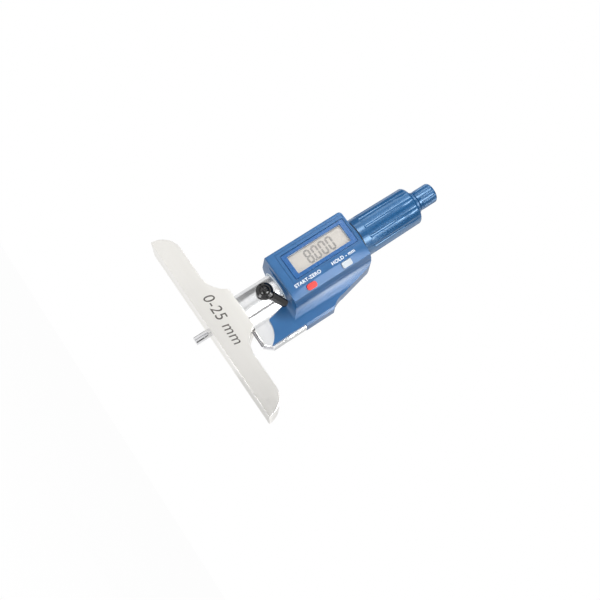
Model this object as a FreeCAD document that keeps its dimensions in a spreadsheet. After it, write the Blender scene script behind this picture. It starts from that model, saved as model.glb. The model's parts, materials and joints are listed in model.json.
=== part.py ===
import FreeCAD, Part
import math
import os
import re
import Sketcher

# Digital depth gauge: a beam that straddles the hole to be measured, a micrometer head that
# stands across it and a display housing. Millimetres. Z is the axis of the measuring rod, from
# the ground face of the beam at z = 0 up to the ratchet knob. The beam lies along X and the
# display faces -Y.

SIZES = {
    # Beam
    "base_length": 101.6,
    "base_depth": 16.6,
    "arm_height": 10.4,
    "hub_height": 18.2,
    "hub_foot_width": 46.6,
    "hub_flare": 13.8,
    "hub_shoulder_drop": 0.9,
    "hub_shoulder_width": 1.6,
    "hub_shoulder_radius": 1.8,
    "rod_hole_radius": 2.1,
    "rod_bush_radius": 3.6,
    "rod_bush_inset": 0.6,
    "rod_bush_length": 3.4,
    "clamp_screw_radius": 1.5,
    "clamp_screw_length": 2.2,
    "clamp_screw_rise": 5.4,
    "clamp_socket": 1.5,
    "clamp_socket_depth": 1.2,
    # Fits
    "running_gap": 0.03,
    "seat_gap": 0.02,
    "free_gap": 0.15,
    "end_gap": 0.08,
    "skirt_gap": 0.04,
    "overrun": 1.0,
    # Neck, barrel and plate of the frame
    "neck_radius": 8.4,
    "neck_length": 21.2,
    "neck_tenon": 2.2,
    "stem_radius": 6.0,
    "barrel_radius": 6.5,
    "barrel_length": 16.6,
    "barrel_flange_radius": 8.4,
    "barrel_flange_height": 2.2,
    "encoder_room": 8.5,
    "ring_radius": 9.2,
    "ring_floor": 2.0,
    "ring_floor_relief": 0.3,
    "link_width": 9.5,
    "plate_thickness": 6.0,
    "plate_reach": 24.0,
    "plate_drop": 1.1,
    "plate_hub_gap": 0.3,
    "plate_notch": 11.8,
    "plate_corner_width": 3.4,
    "plate_corner_height": 3.7,
    "plate_edge": 0.8,
    "neck_fillet": 3.6,
    # Spindle, rod and thread
    "travel": 25.0,
    "rod_radius": 2.0,
    "rod_reach": 8.0,
    "rod_edge": 0.25,
    "rod_inset": 0.3,
    "spindle_radius": 3.25,
    "spindle_inset": 0.6,
    "thread_radius": 3.9,
    "travel_reserve": 0.6,
    "thread_runout": 0.9,
    "nut_length": 9.5,
    "nut_seat": 0.4,
    "nut_taper": 1.1,
    "adjuster_height": 3.6,
    "bush_radius": 5.0,
    "bush_length": 10.6,
    "bush_floor_gap": 0.4,
    "key_width": 1.2,
    "key_length": 2.5,
    "key_depth": 0.65,
    # Encoder
    "disc_radius": 8.4,
    "disc_thickness": 0.8,
    "disc_gap": 0.25,
    "washer_thickness": 0.21,
    "washer_width": 1.1,
    "rotor_hub_radius": 4.6,
    "rotor_flange_radius": 6.0,
    "rotor_flange_height": 1.1,
    "rotor_height": 6.2,
    "disc_spring_thickness": 0.3,
    "stator_screw_circle": 7.1,
    "stator_screw_radius": 0.5,
    "stator_head_radius": 0.9,
    "stator_head_height": 0.4,
    "stator_screw_length": 2.0,
    "stator_ear": 1.0,
    "stator_bore": 3.9,
    # Sleeve and thimble
    "sleeve_radius": 8.6,
    "sleeve_seat_radius": 7.4,
    "sleeve_bore": 6.0,
    "sleeve_nut_bore": 6.5,
    "thimble_radius": 10.25,
    "thimble_top_radius": 9.95,
    "thimble_length": 35.3,
    "thimble_gap": 0.5,
    "thimble_band": 5.4,
    "thimble_rounding": 1.6,
    "thimble_foot_edge": 0.3,
    "core_radius": 9.25,
    "core_wall": 0.5,
    "core_lift": 0.3,
    "core_roof": 3.2,
    "core_roof_gap": 0.8,
    "grip_roof": 1.2,
    "flute_radius": 1.5,
    "flute_depth": 0.42,
    # Rod clamp and ratchet
    "clamp_nut_radius": 2.6,
    "clamp_nut_height": 3.2,
    "spindle_tip_radius": 3.15,
    "spindle_tip_height": 1.1,
    "collar_radius": 5.8,
    "collar_edge": 0.3,
    "collar_height": 2.4,
    "stud_radius": 1.9,
    "stud_height": 6.0,
    "knob_radius": 5.2,
    "knob_length": 10.5,
    "knob_edge": 1.5,
    "knob_bore": 3.9,
    "knob_foot": 0.3,
    "knob_groove_radius": 0.75,
    "knob_rib_depth": 0.3,
    "knob_rib_land": 1.3,
    "ratchet_disc_height": 1.1,
    "tooth_radius": 3.8,
    "tooth_depth": 0.5,
    "knob_shelf": 1.0,
    "coil_radius": 2.6,
    "wire_radius": 0.25,
    "coil_pitch": 0.75,
    "coil_height": 1.6,
    "ratchet_screw_radius": 0.9,
    "ratchet_screw_length": 4.2,
    "ratchet_head_height": 1.1,
    "ratchet_head_radius": 3.3,
    "knob_cap_radius": 3.4,
    "knob_cap_height": 1.4,
    # Lock
    "lock_rise": 13.1,
    "lock_pad_radius": 1.4,
    "lock_pad_length": 1.2,
    "lock_shaft_radius": 1.5,
    "lock_square": 2.1,
    "lock_seat_depth": 0.3,
    "lever_gap": 0.06,
    "boss_radius": 4.15,
    "boss_height": 2.8,
    "lever_length": 12.7,
    "lever_angle": 23.6,
    "lever_root_width": 4.4,
    "lever_tip_radius": 1.9,
    "lever_lift": 0.7,
    "lever_thickness": 2.0,
    "lock_head_radius": 2.3,
    "lock_head_height": 1.1,
    "lock_head_sink": 0.6,
    "lock_screw_radius": 0.6,
    "lock_screw_length": 3.4,
    "cross_slot_width": 0.6,
    "cross_slot_length": 2.8,
    "cross_slot_depth": 0.7,
    # Housing
    "bezel_top": 1.7,
    "face_left": 12.3,
    "face_rounding": 1.0,
    "face_right": 9.4,
    "strip_right": 13.2,
    "strip_drop": 1.8,
    "flank_right": 14.4,
    "flank_drop": 4.7,
    "skirt_thickness": 1.3,
    "cover_edge": 1.1,
    "end_edge": 0.6,
    "end_fillet": 5.0,
    "barrel_side": 14.0,
    "barrel_back": 14.1,
    "rear_fillet": 4.0,
    "wall": 1.6,
    "collar_drop": 0.9,
    "collar_rim": 0.5,
    "sleeve_clearance": 0.2,
    "cover_shoulder_height": 15.8,
    "cover_notch_width": 1.6,
    "cover_notch_height": 1.8,
    "cover_sweep_radius": 12.0,
    "cover_sweep_right": 20.3,
    "cover_sweep_height": 23.6,
    "cover_tail_right": 16.6,
    "cover_tail_height": 40.1,
    "cover_tail_radius": 5.0,
    "cover_end_right": 14.9,
    "skirt_left_top": 9.8,
    "skirt_left_low": 11.2,
    "skirt_knee": 12.3,
    "skirt_knee_rise": 9.0,
    "skirt_corner": 1.0,
    "skirt_sweep": 12.8,
    "skirt_rise": 3.2,
    # Display
    "bezel_left": 8.3,
    "bezel_low": 6.4,
    "bezel_thickness": 0.8,
    "bezel_sink": 0.1,
    "view_length": 30.2,
    "view_width": 9.9,
    "view_low": 2.5,
    "view_left": 1.5,
    "view_right": 1.9,
    "window_inset_length": 1.1,
    "window_inset_width": 0.65,
    "panel_lap_length": 0.3,
    "panel_lap_width": 0.5,
    "panel_thickness": 1.8,
    "panel_gap": 0.02,
    "zebra_width": 1.6,
    "zebra_height": 0.9,
    "zebra_inset": 1.8,
    "board_thickness": 0.8,
    "board_clearance": 0.48,
    "board_right": 6.8,
    "board_left": 8.7,
    "board_margin": 1.0,
    "post_radius": 1.0,
    "post_right": 5.9,
    "post_left": 7.3,
    "post_low": 2.9,
    "small_screw_radius": 0.5,
    "small_head_radius": 0.9,
    "small_head_height": 0.5,
    "small_screw_length": 3.0,
    "chip_size": 7.0,
    "chip_thickness": 1.0,
    "chip_inset": 3.0,
    "ribbon_width": 5.0,
    "ribbon_thickness": 0.2,
    "ribbon_length": 3.8,
    # Buttons
    "button_length": 5.2,
    "button_width": 2.9,
    "red_rounding": 1.2,
    "white_rounding": 0.5,
    "button_proud": 0.9,
    "button_rim": 0.5,
    "button_rim_inset": 0.05,
    "button_travel": 0.5,
    "button_rim_thickness": 0.5,
    "red_place": 10.8,
    "white_place": 30.8,
    "button_gap": 0.05,
    "switch_stem_radius": 0.9,
    "switch_stem_height": 0.25,
    "switch_size": 3.0,
    "switch_height": 0.7,
    "key_board_width": 4.0,
    "key_board_length": 32.0,
    "key_board_thickness": 0.6,
    "key_post_radius": 1.1,
    "key_screw_length": 1.9,
    # Battery
    "cell_radius": 5.8,
    "cell_height": 5.4,
    "cell_place": 8.3,
    "cell_clearance": 0.1,
    "cell_floor": 7.7,
    "contact_thickness": 0.3,
    "contact_width": 3.0,
    "contact_length": 9.0,
    "contact_inset": 0.4,
    "cup_wall": 1.1,
    "cup_floor": 0.6,
    "cap_radius": 6.8,
    "boss_wall": 1.1,
    "cap_gap": 0.06,
    "cap_disc": 1.0,
    "cap_plug_radius": 5.8,
    "cap_plug_height": 0.45,
    "seal_radius": 0.33,
    "coin_slot_length": 8.0,
    "coin_slot_width": 1.4,
    "coin_slot_depth": 0.6,
    # Screws of the covers
    "cover_screw_radius": 0.8,
    "cover_head_radius": 1.45,
    "cover_head_height": 1.0,
    "cover_boss_radius": 1.7,
    "left_screw_x": 11.1,
    "left_screw_inset": 3.8,
    "left_head_depth": 6.6,
    "left_screw_length": 15.0,
    "right_screw_x": 16.6,
    "right_screw_inset": 6.6,
    "right_screw_pitch": 15.0,
    "right_screw_bite": 1.3,
    "right_head_proud": 0.4,
    "cover_slot_width": 0.4,
    "cover_slot_length": 1.9,
    "cover_slot_depth": 0.5,
}

# Counts and angles
FLUTES = 12
KNOB_RIBS = 14
STATOR_SCREWS = 2
RATCHET_TEETH = 12

# Sizes that follow from the ones above
DERIVED = {
    "base_half": "base_length / 2",
    "depth_half": "base_depth / 2",
    "hub_foot": "hub_foot_width / 2",
    "shoulder_z": "hub_height - hub_shoulder_drop",
    "flare_rise": "arm_height + hub_flare - shoulder_z",
    "shoulder_x": "hub_foot - sqrt(hub_flare ^ 2 - flare_rise ^ 2)",
    "stem_low": "rod_bush_inset + rod_bush_length + seat_gap * 2",
    "clamp_z": "hub_height - clamp_screw_rise",
    "plate_half": "plate_thickness / 2",
    "housing_low": "hub_height + neck_length",
    "housing_top": "bezel_z + bezel_length + bezel_top",
    "housing_floor": "housing_low + wall",
    "housing_roof": "housing_top - wall",
    "neck_top": "housing_low + neck_tenon",
    "barrel_top": "housing_low + barrel_length",
    "flange_low": "barrel_top - barrel_flange_height",
    "passage_radius": "spindle_radius + free_gap",
    "ring_low": "barrel_top + encoder_room",
    "ring_top": "housing_roof - end_gap",
    "sleeve_low": "ring_low + ring_floor + seat_gap",
    "plate_low": "hub_height - plate_drop",
    "plate_foot": "hub_height + plate_hub_gap",
    "plate_step": "housing_low - end_gap",
    "inner_reach": "plate_reach - wall",
    "link_x": "inner_reach - link_width",
    "lock_z": "hub_height + lock_rise",
    "fillet_sine": "(plate_half + neck_fillet) / (neck_radius + neck_fillet)",
    "fillet_cosine": "sqrt(1 - fillet_sine ^ 2)",
    "blend_x": "(neck_radius + neck_fillet) * fillet_cosine",
    "rod_bore": "rod_radius + running_gap",
    "spindle_low": "stem_low + spindle_inset",
    "thread_low": "ring_low + free_gap",
    "nut_low": "thread_low + travel + travel_reserve",
    "nut_top": "nut_low + nut_length",
    "adjuster_low": "nut_top - nut_seat - adjuster_height",
    "adjuster_bore": "sleeve_nut_bore - nut_taper - running_gap",
    "thread_top": "nut_top + thread_runout",
    "bush_low": "barrel_top - bush_floor_gap - bush_length",
    "stator_top": "barrel_top + disc_thickness",
    "rotor_low": "stator_top + disc_gap",
    "rotor_top": "rotor_low + rotor_height",
    "rotor_flange_low": "rotor_low + disc_thickness + seat_gap",
    "key_low": "rotor_low + disc_thickness + rotor_flange_height + free_gap",
    "key_top": "key_low + key_length",
    "thimble_low": "housing_top + thimble_gap",
    "thimble_top": "thimble_low + thimble_length",
    "core_top": "thimble_top - grip_roof",
    "core_ceiling": "core_top - core_roof",
    "sleeve_top": "core_ceiling - core_roof_gap",
    "spindle_top": "thimble_top + spindle_tip_height",
    "clamp_nut_low": "spindle_top - clamp_nut_height - free_gap",
    "rod_top": "spindle_top - rod_inset",
    "collar_low": "thimble_top + end_gap",
    "collar_top": "collar_low + collar_height",
    "stud_top": "collar_top + stud_height",
    "stud_hole_low": "stud_top - ratchet_screw_length",
    "disc_top": "collar_top + ratchet_disc_height",
    "knob_low": "collar_top + free_gap",
    "knob_top": "knob_low + knob_length",
    "shelf_low": "knob_low + ratchet_disc_height * 2 + free_gap * 2",
    "shelf_top": "shelf_low + knob_shelf",
    "knob_cap_low": "knob_top - knob_cap_height",
    "lock_pad_face": "spindle_radius + running_gap",
    "lock_pad_back": "lock_pad_face + lock_pad_length",
    "boss_seat": "neck_radius - lock_seat_depth",
    "boss_back": "boss_seat + lever_gap",
    "boss_front": "boss_back + boss_height",
    "lever_back": "boss_back + lever_lift",
    "lever_reach": "lever_length - lever_tip_radius",
    "lock_head_front": "lock_head_back + lock_head_height",
    "lock_head_back": "boss_front - lock_head_sink",
    "encoder_reach": "disc_radius + stator_ear",
    "face_depth": "encoder_reach + board_clearance + display_stack + wall",
    "display_stack": "board_thickness + zebra_height + panel_thickness + panel_gap",
    "strip_face": "face_depth - strip_drop",
    "flank_face": "strip_face - (flank_drop - strip_drop)",
    "flank_radius": "flank_face - skirt_face",
    "cover_joint": "parting + seat_gap",
    "skirt_back": "plate_half + skirt_gap",
    "skirt_face": "plate_half + skirt_thickness",
    "flank_end": "flank_right + flank_radius",
    "cover_edge_x": "plate_reach - cover_edge",
    "cover_edge_y": "skirt_face - cover_edge",
    "fillet_low": "housing_low - end_fillet",
    "parting": "plate_half",
    "side_slope": "(barrel_side - face_left) / (face_depth - face_rounding + barrel_side_place)",
    "parting_x": "face_left + side_slope * (face_depth - face_rounding - parting)",
    "barrel_side_place": "sqrt(barrel_back ^ 2 - barrel_side ^ 2)",
    "rear_sine": "(skirt_face + rear_fillet) / (barrel_back + rear_fillet)",
    "rear_cosine": "sqrt(1 - rear_sine ^ 2)",
    "shoulder_top": "housing_low + cover_shoulder_height",
    "notch_x": "plate_reach - cover_notch_width",
    "notch_z": "shoulder_top + cover_notch_height",
    "sweep_z": "housing_low + cover_sweep_height",
    "tail_z": "housing_low + cover_tail_height",
    "face_inner": "face_depth - wall",
    "inner_strip_x": "face_right - wall * tan(strip_tilt / 2)",
    "flank_tilt": "atan((flank_drop - strip_drop) / (flank_right - strip_right))",
    "mid_tilt": "(strip_tilt + flank_tilt) / 2",
    "half_turn": "(flank_tilt - strip_tilt) / 2",
    "inner_flank_x": "strip_right - wall * sin(mid_tilt) / cos(half_turn)",
    "inner_flank_y": "strip_face - wall * cos(mid_tilt) / cos(half_turn)",
    "inner_flank_end": "flank_end - sqrt((flank_radius + wall) ^ 2 - (flank_face - parting) ^ 2)",
    "bezel_length": "view_length + view_low * 2",
    "bezel_width": "view_left + view_width + view_right",
    "bezel_z": "housing_low + bezel_low",
    "bezel_floor": "face_depth - bezel_sink - bezel_thickness",
    "bezel_front": "face_depth - bezel_sink",
    "bezel_mid_x": "bezel_width / 2 - bezel_left",
    "bezel_mid_z": "bezel_z + bezel_length / 2",
    "view_x": "view_left - bezel_left",
    "view_z": "bezel_z + view_low",
    "window_length": "bezel_length - window_inset_length * 2",
    "window_width": "bezel_width - window_inset_width * 2",
    "panel_length": "window_length + panel_lap_length * 2",
    "panel_width": "window_width + panel_lap_width * 2",
    "zebra_length": "panel_length - zebra_inset * 2",
    "panel_front": "face_inner - panel_gap",
    "panel_back": "panel_front - panel_thickness",
    "board_front": "panel_back - zebra_height",
    "board_back": "board_front - board_thickness",
    "strip_run": "strip_right - face_right",
    "strip_mid_x": "(strip_right + face_right) / 2",
    "strip_mid_y": "face_depth - strip_drop / 2",
    "strip_tilt": "atan(strip_drop / strip_run)",
    "rim_back": "wall + button_gap + button_rim_thickness",
    "stem_front": "rim_back + button_travel + button_gap",
    "switch_front": "stem_front + switch_stem_height",
    "key_board_front": "switch_front + switch_height",
    "key_board_back": "key_board_front + key_board_thickness",
    "red_z": "housing_low + red_place",
    "white_z": "housing_low + white_place",
    "skirt_knee_z": "plate_low + skirt_knee_rise",
    "cell_z": "housing_low + cell_place",
    "cell_back": "cell_floor + cell_height",
    "cup_low": "cell_floor - contact_thickness - cup_floor",
    "cap_floor": "cell_back + cell_clearance",
    "cap_seat": "cap_floor + cap_plug_height",
    "seal_seat": "cap_seat - seal_radius * 2 - seat_gap",
    "seal_circle": "(cap_radius + cap_gap + cap_plug_radius) / 2",
    "cap_top": "cap_seat + cap_disc",
    "boss_outer": "cap_radius + boss_wall",
    "cap_rim": "cap_top - cap_gap",
    "left_screw_end": "left_screw_length - left_head_depth",
    "right_head_depth": "skirt_face - cover_head_height + right_head_proud",
}

doc = FreeCAD.newDocument("depth_gauge")
sheet = doc.addObject("Spreadsheet::Sheet", "sizes")
for row, (alias, size) in enumerate(SIZES.items(), start=1):
    sheet.set("A%d" % row, str(size))
    sheet.setAlias("A%d" % row, alias)
doc.recompute()

WORD = re.compile(r"\b[a-z][a-z0-9_]*\b")
FUNCTIONS = ("sqrt", "sin", "cos", "tan", "atan")
PLANE_SIGN = {"XY_Plane": 1, "XZ_Plane": -1, "YZ_Plane": 1}
AXIS_TURN = {
    "x": FreeCAD.Rotation(FreeCAD.Vector(0, 1, 0), 90),
    "y": FreeCAD.Rotation(FreeCAD.Vector(1, 0, 0), -90),
    "z": FreeCAD.Rotation(),
}
TOUCH = 0.0001
parts = []


def formula(text):
    """Write a formula in named sizes as an expression on the sheet's cells."""
    def spelled(match):
        word = match.group()
        if word in FUNCTIONS:
            return word
        if word in DERIVED:
            return "(" + formula(DERIVED[word]) + ")"
        return "sizes." + word
    return WORD.sub(spelled, str(text))


def amount(text):
    return float(sheet.evalExpression(formula(text)))


def bind(thing, field, text):
    thing.setExpression(field, formula(text))


def place(thing, x=0, y=0, z=0):
    for axis, text in zip("xyz", (x, y, z)):
        bind(thing, ".Placement.Base." + axis, text)


def span(low, high):
    return "(%s) - (%s)" % (high, low)


def minus(text):
    return "-(%s)" % text


def keep(thing, node):
    """Name the finished piece and put it on the list of sub-parts."""
    thing.Label = node
    parts.append(thing)
    return thing


def fuse(name, *things):
    whole = doc.addObject("Part::MultiFuse", name)
    whole.Shapes = list(things)
    return whole


def carrier(name, thing):
    """Wrap a turned or moved thing so that it can be placed once more as a whole."""
    wrap = doc.addObject("Part::Compound", name)
    wrap.Links = [thing]
    return wrap


def cut(name, base, *tools):
    rest = doc.addObject("Part::Cut", name)
    rest.Base = base
    rest.Tool = tools[0] if len(tools) == 1 else fuse(name + "_tools", *tools)
    return rest


def common(name, base, tool):
    shared = doc.addObject("Part::Common", name)
    shared.Base = base
    shared.Tool = tool
    return shared


def block(name, x_range, y_range, z_range):
    thing = doc.addObject("Part::Box", name)
    ranges = (x_range, y_range, z_range)
    for field, (low, high) in zip(("Length", "Width", "Height"), ranges):
        bind(thing, field, span(low, high))
    place(thing, *(low for low, high in ranges))
    return thing


def cylinder(name, radius, low, high, axis="z", at=(0, 0)):
    """A cylinder from low to high along an axis, at the other two coordinates."""
    thing = doc.addObject("Part::Cylinder", name)
    bind(thing, "Radius", radius)
    bind(thing, "Height", span(low, high))
    thing.Placement.Rotation = AXIS_TURN[axis]
    spot = list(at)
    spot.insert("xyz".index(axis), low)
    place(thing, *spot)
    return thing


class Bend:
    """An arc between two corners of an outline, bulging to the left or right of the way."""

    def __init__(self, radius, side):
        self.radius = radius
        self.side = side


def arc_between(start, end, radius, side):
    """The arc's edge, and which of its ends is at the start."""
    chord = end - start
    across = FreeCAD.Vector(-chord.y, chord.x, 0).normalize()
    reach = math.sqrt(max(radius ** 2 - (chord.Length / 2) ** 2, 0))
    turn = -1 if side == "left" else 1
    centre = (start + end) / 2 + across * reach * turn
    first, last = (end, start) if side == "left" else (start, end)
    angles = [math.atan2(point.y - centre.y, point.x - centre.x) for point in (first, last)]
    circle = Part.Circle(centre, FreeCAD.Vector(0, 0, 1), radius)
    return Part.ArcOfCircle(circle, *angles), side == "left"


def pin_corner(sketch, edge, end, corner):
    """Hold one end of an edge at its corner, by the sheet's sizes."""
    for kind, axis_line, text in zip(("DistanceX", "DistanceY"), (-2, -1), corner):
        if text == 0:
            sketch.addConstraint(Sketcher.Constraint("PointOnObject", edge, end, axis_line))
            continue
        held = Sketcher.Constraint(kind, -1, 1, edge, end, amount(text))
        bind(sketch, "Constraints[%d]" % sketch.addConstraint(held), text)


def draw(sketch, outline):
    """Draw a closed outline of corners, with a Bend between two corners where it is round."""
    corners = [item for item in outline if not isinstance(item, Bend)]
    bends = {}
    for index, item in enumerate(outline):
        if isinstance(item, Bend):
            bends[sum(not isinstance(other, Bend) for other in outline[:index]) - 1] = item
    spots = [FreeCAD.Vector(amount(x), amount(y), 0) for x, y in corners]
    ends = []
    for index, start in enumerate(spots):
        end = spots[(index + 1) % len(spots)]
        bend = bends.get(index)
        if bend is None:
            ends.append((sketch.addGeometry(Part.LineSegment(start, end)), 1, 2))
            continue
        arc, backwards = arc_between(start, end, amount(bend.radius), bend.side)
        edge = sketch.addGeometry(arc)
        ends.append((edge, 2, 1) if backwards else (edge, 1, 2))
    for index, (edge, first, last) in enumerate(ends):
        following, following_first, _ = ends[(index + 1) % len(ends)]
        joined = Sketcher.Constraint("Coincident", edge, last, following, following_first)
        sketch.addConstraint(joined)
        pin_corner(sketch, edge, first, corners[index])
    for index, bend in bends.items():
        held = Sketcher.Constraint("Radius", ends[index][0], amount(bend.radius))
        bind(sketch, "Constraints[%d]" % sketch.addConstraint(held), bend.radius)


def sketch_in(body, plane, outline, level=0):
    origin_plane = next(item for item in body.Origin.OriginFeatures if item.Role == plane)
    sketch = body.newObject("Sketcher::SketchObject", body.Name + "_outline")
    sketch.AttachmentSupport = [(origin_plane, "")]
    sketch.MapMode = "FlatFace"
    bind(sketch, ".AttachmentOffset.Base.z", level)
    draw(sketch, outline)
    return sketch


def slab(name, plane, outline, low, high):
    """An outline given a thickness from low to high, square to its plane."""
    body = doc.addObject("PartDesign::Body", name)
    level = low if PLANE_SIGN[plane] > 0 else minus(high)
    pad = body.newObject("PartDesign::Pad", name + "_pad")
    pad.Profile = sketch_in(body, plane, outline, level)
    bind(pad, "Length", span(low, high))
    return body


def turned(name, outline):
    """A piece turned about Z, from the (radius, height) corners of its half section."""
    body = doc.addObject("PartDesign::Body", name)
    sketch = sketch_in(body, "XZ_Plane", outline)
    spin = body.newObject("PartDesign::Revolution", name + "_turn")
    spin.Profile = sketch
    spin.ReferenceAxis = (sketch, ["V_Axis"])
    spin.Angle = 360
    return body


def ring(name, inner, outer, low, high):
    return turned(name, [(inner, low), (outer, low), (outer, high), (inner, high)])


def rectangle(x_low, x_high, y_low, y_high):
    return [(x_low, y_low), (x_high, y_low), (x_high, y_high), (x_low, y_high)]


def rounded_rectangle(length, width, radius):
    """A rectangle about the origin with rounded corners."""
    x = "(%s) / 2" % length
    y = "(%s) / 2" % width
    inner_x = "(%s - %s)" % (x, radius)
    inner_y = "(%s - %s)" % (y, radius)
    corner = Bend(radius, "right")
    return [
        (inner_x, minus(y)), corner, (x, minus(inner_y)),
        (x, inner_y), corner, (inner_x, y),
        (minus(inner_x), y), corner, (minus(x), inner_y),
        (minus(x), minus(inner_y)), corner, (minus(inner_x), minus(y)),
    ]


def mirrored(right_half):
    """Complete an outline that is the same left and right of the second axis."""
    left_half = [
        item if isinstance(item, Bend) else (minus(item[0]), item[1])
        for item in reversed(right_half)
    ]
    return right_half + left_half


def chamfer(body, size, wanted):
    """Chamfer the edges of a body's last feature that the test picks."""
    doc.recompute()
    base = body.Tip
    names = [
        "Edge%d" % number
        for number, edge in enumerate(base.Shape.Edges, start=1)
        if wanted(edge.BoundBox)
    ]
    feature = body.newObject("PartDesign::Chamfer", body.Name + "_chamfer")
    feature.Base = (base, names)
    bind(feature, "Size", size)
    return body


def lies_at(box, axis, level):
    """Whether an edge's bounding box lies flat at one level along an axis."""
    return all(abs(getattr(box, axis + end) - level) < TOUCH for end in ("Min", "Max"))


# Beam

def base():
    beam = slab("beam", "XZ_Plane", mirrored([
        ("base_half", 0), Bend("arm_height", "right"),
        ("base_half - arm_height", "arm_height"),
        ("hub_foot", "arm_height"), Bend("hub_flare", "left"),
        ("shoulder_x", "shoulder_z"), Bend("hub_shoulder_radius", "right"),
        ("shoulder_x - hub_shoulder_width", "hub_height"),
    ]), minus("depth_half"), "depth_half")
    rod_hole = cylinder("rod_hole", "rod_hole_radius", "-overrun", "hub_height")
    bush_seat = cylinder(
        "rod_bush_seat", "rod_bush_radius + seat_gap", "rod_bush_inset", "hub_height")
    stem_seat = cylinder(
        "stem_seat", "stem_radius + seat_gap", "stem_low - seat_gap", "hub_height + overrun")
    clamp_hole = cylinder(
        "clamp_hole", "clamp_screw_radius + seat_gap", 0, "depth_half + overrun", axis="y",
        at=(0, "clamp_z"))
    keep(cut("base_drilled", beam, rod_hole, bush_seat, stem_seat, clamp_hole), "base")
    keep(ring(
        "rod_bush", "rod_radius + running_gap", "rod_bush_radius", "rod_bush_inset + seat_gap",
        "rod_bush_inset + rod_bush_length"), "rod_guide_bush")
    clamp_screw()


def clamp_screw():
    """The screw from behind that holds the beam on the stem of the frame."""
    low = "stem_radius + running_gap"
    high = "stem_radius + running_gap + clamp_screw_length"
    shank = cylinder(
        "clamp_shank", "clamp_screw_radius", low, high, axis="y", at=(0, "clamp_z"))
    socket = block(
        "clamp_recess", ("-clamp_socket / 2", "clamp_socket / 2"),
        (high + " - clamp_socket_depth", high + " + overrun"),
        ("clamp_z - clamp_socket / 2", "clamp_z + clamp_socket / 2"))
    keep(cut("clamp_cut", shank, socket), "base_screw")


# Frame

def neck_section(gap, reach):
    """The neck and the plate on its right, joined by fillets, larger all round by a gap."""
    radius = "neck_radius + %s" % gap
    side = "plate_half + %s" % gap
    upper = [
        (reach, side),
        ("blend_x", side), Bend("neck_fillet - %s" % gap, "left"),
        ("(%s) * fillet_cosine" % radius, "(%s) * fillet_sine" % radius), Bend(radius, "right"),
    ]
    lower = [
        item if isinstance(item, Bend) else (item[0], minus(item[1]))
        for item in reversed(upper)
    ]
    return upper + [(minus(radius), 0)] + lower


def cover_side(inset, low, high):
    """The right side of the housing as seen on the display, moved in by an inset."""
    return [
        ("plate_reach - (%s)" % inset, low),
        ("plate_reach - (%s)" % inset, "shoulder_top - (%s) / 2" % inset),
        ("notch_x - (%s)" % inset, "notch_z - (%s) / 2" % inset),
        Bend("cover_sweep_radius", "left"),
        ("cover_sweep_right - (%s)" % inset, "sweep_z"),
        ("cover_tail_right - (%s)" % inset, "tail_z"),
        Bend("cover_tail_radius", "right"),
        ("cover_end_right - (%s)" % inset, high),
    ]


def plate():
    """The flat plate of the frame, with its visible edges chamfered."""
    side = cover_side("wall + free_gap", "plate_step", "housing_top")[:-2]
    body = slab("plate", "XZ_Plane", [
        ("stem_radius", "plate_foot"), ("plate_notch", "plate_foot"),
        ("plate_notch", "plate_low"), ("plate_reach - plate_corner_width", "plate_low"),
        ("plate_reach", "plate_low + plate_corner_height"), ("plate_reach", "plate_step"),
    ] + side + [
        ("stem_radius", "tail_z"), ("stem_radius", "ring_low"), ("link_x", "ring_low"),
        ("link_x", "barrel_top"), ("stem_radius", "barrel_top"),
    ], minus("plate_half"), "plate_half")
    half = amount("plate_half")
    corner_x = amount("plate_reach - plate_corner_width")
    corner_z = amount("plate_low + plate_corner_height")

    def outside(box):
        flat = any(lies_at(box, "Y", side) for side in (half, -half))
        return flat and box.XMax > corner_x - TOUCH and box.ZMin < corner_z - TOUCH or (
            flat and lies_at(box, "X", amount("plate_reach")))

    return chamfer(body, "plate_edge", outside)


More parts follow.
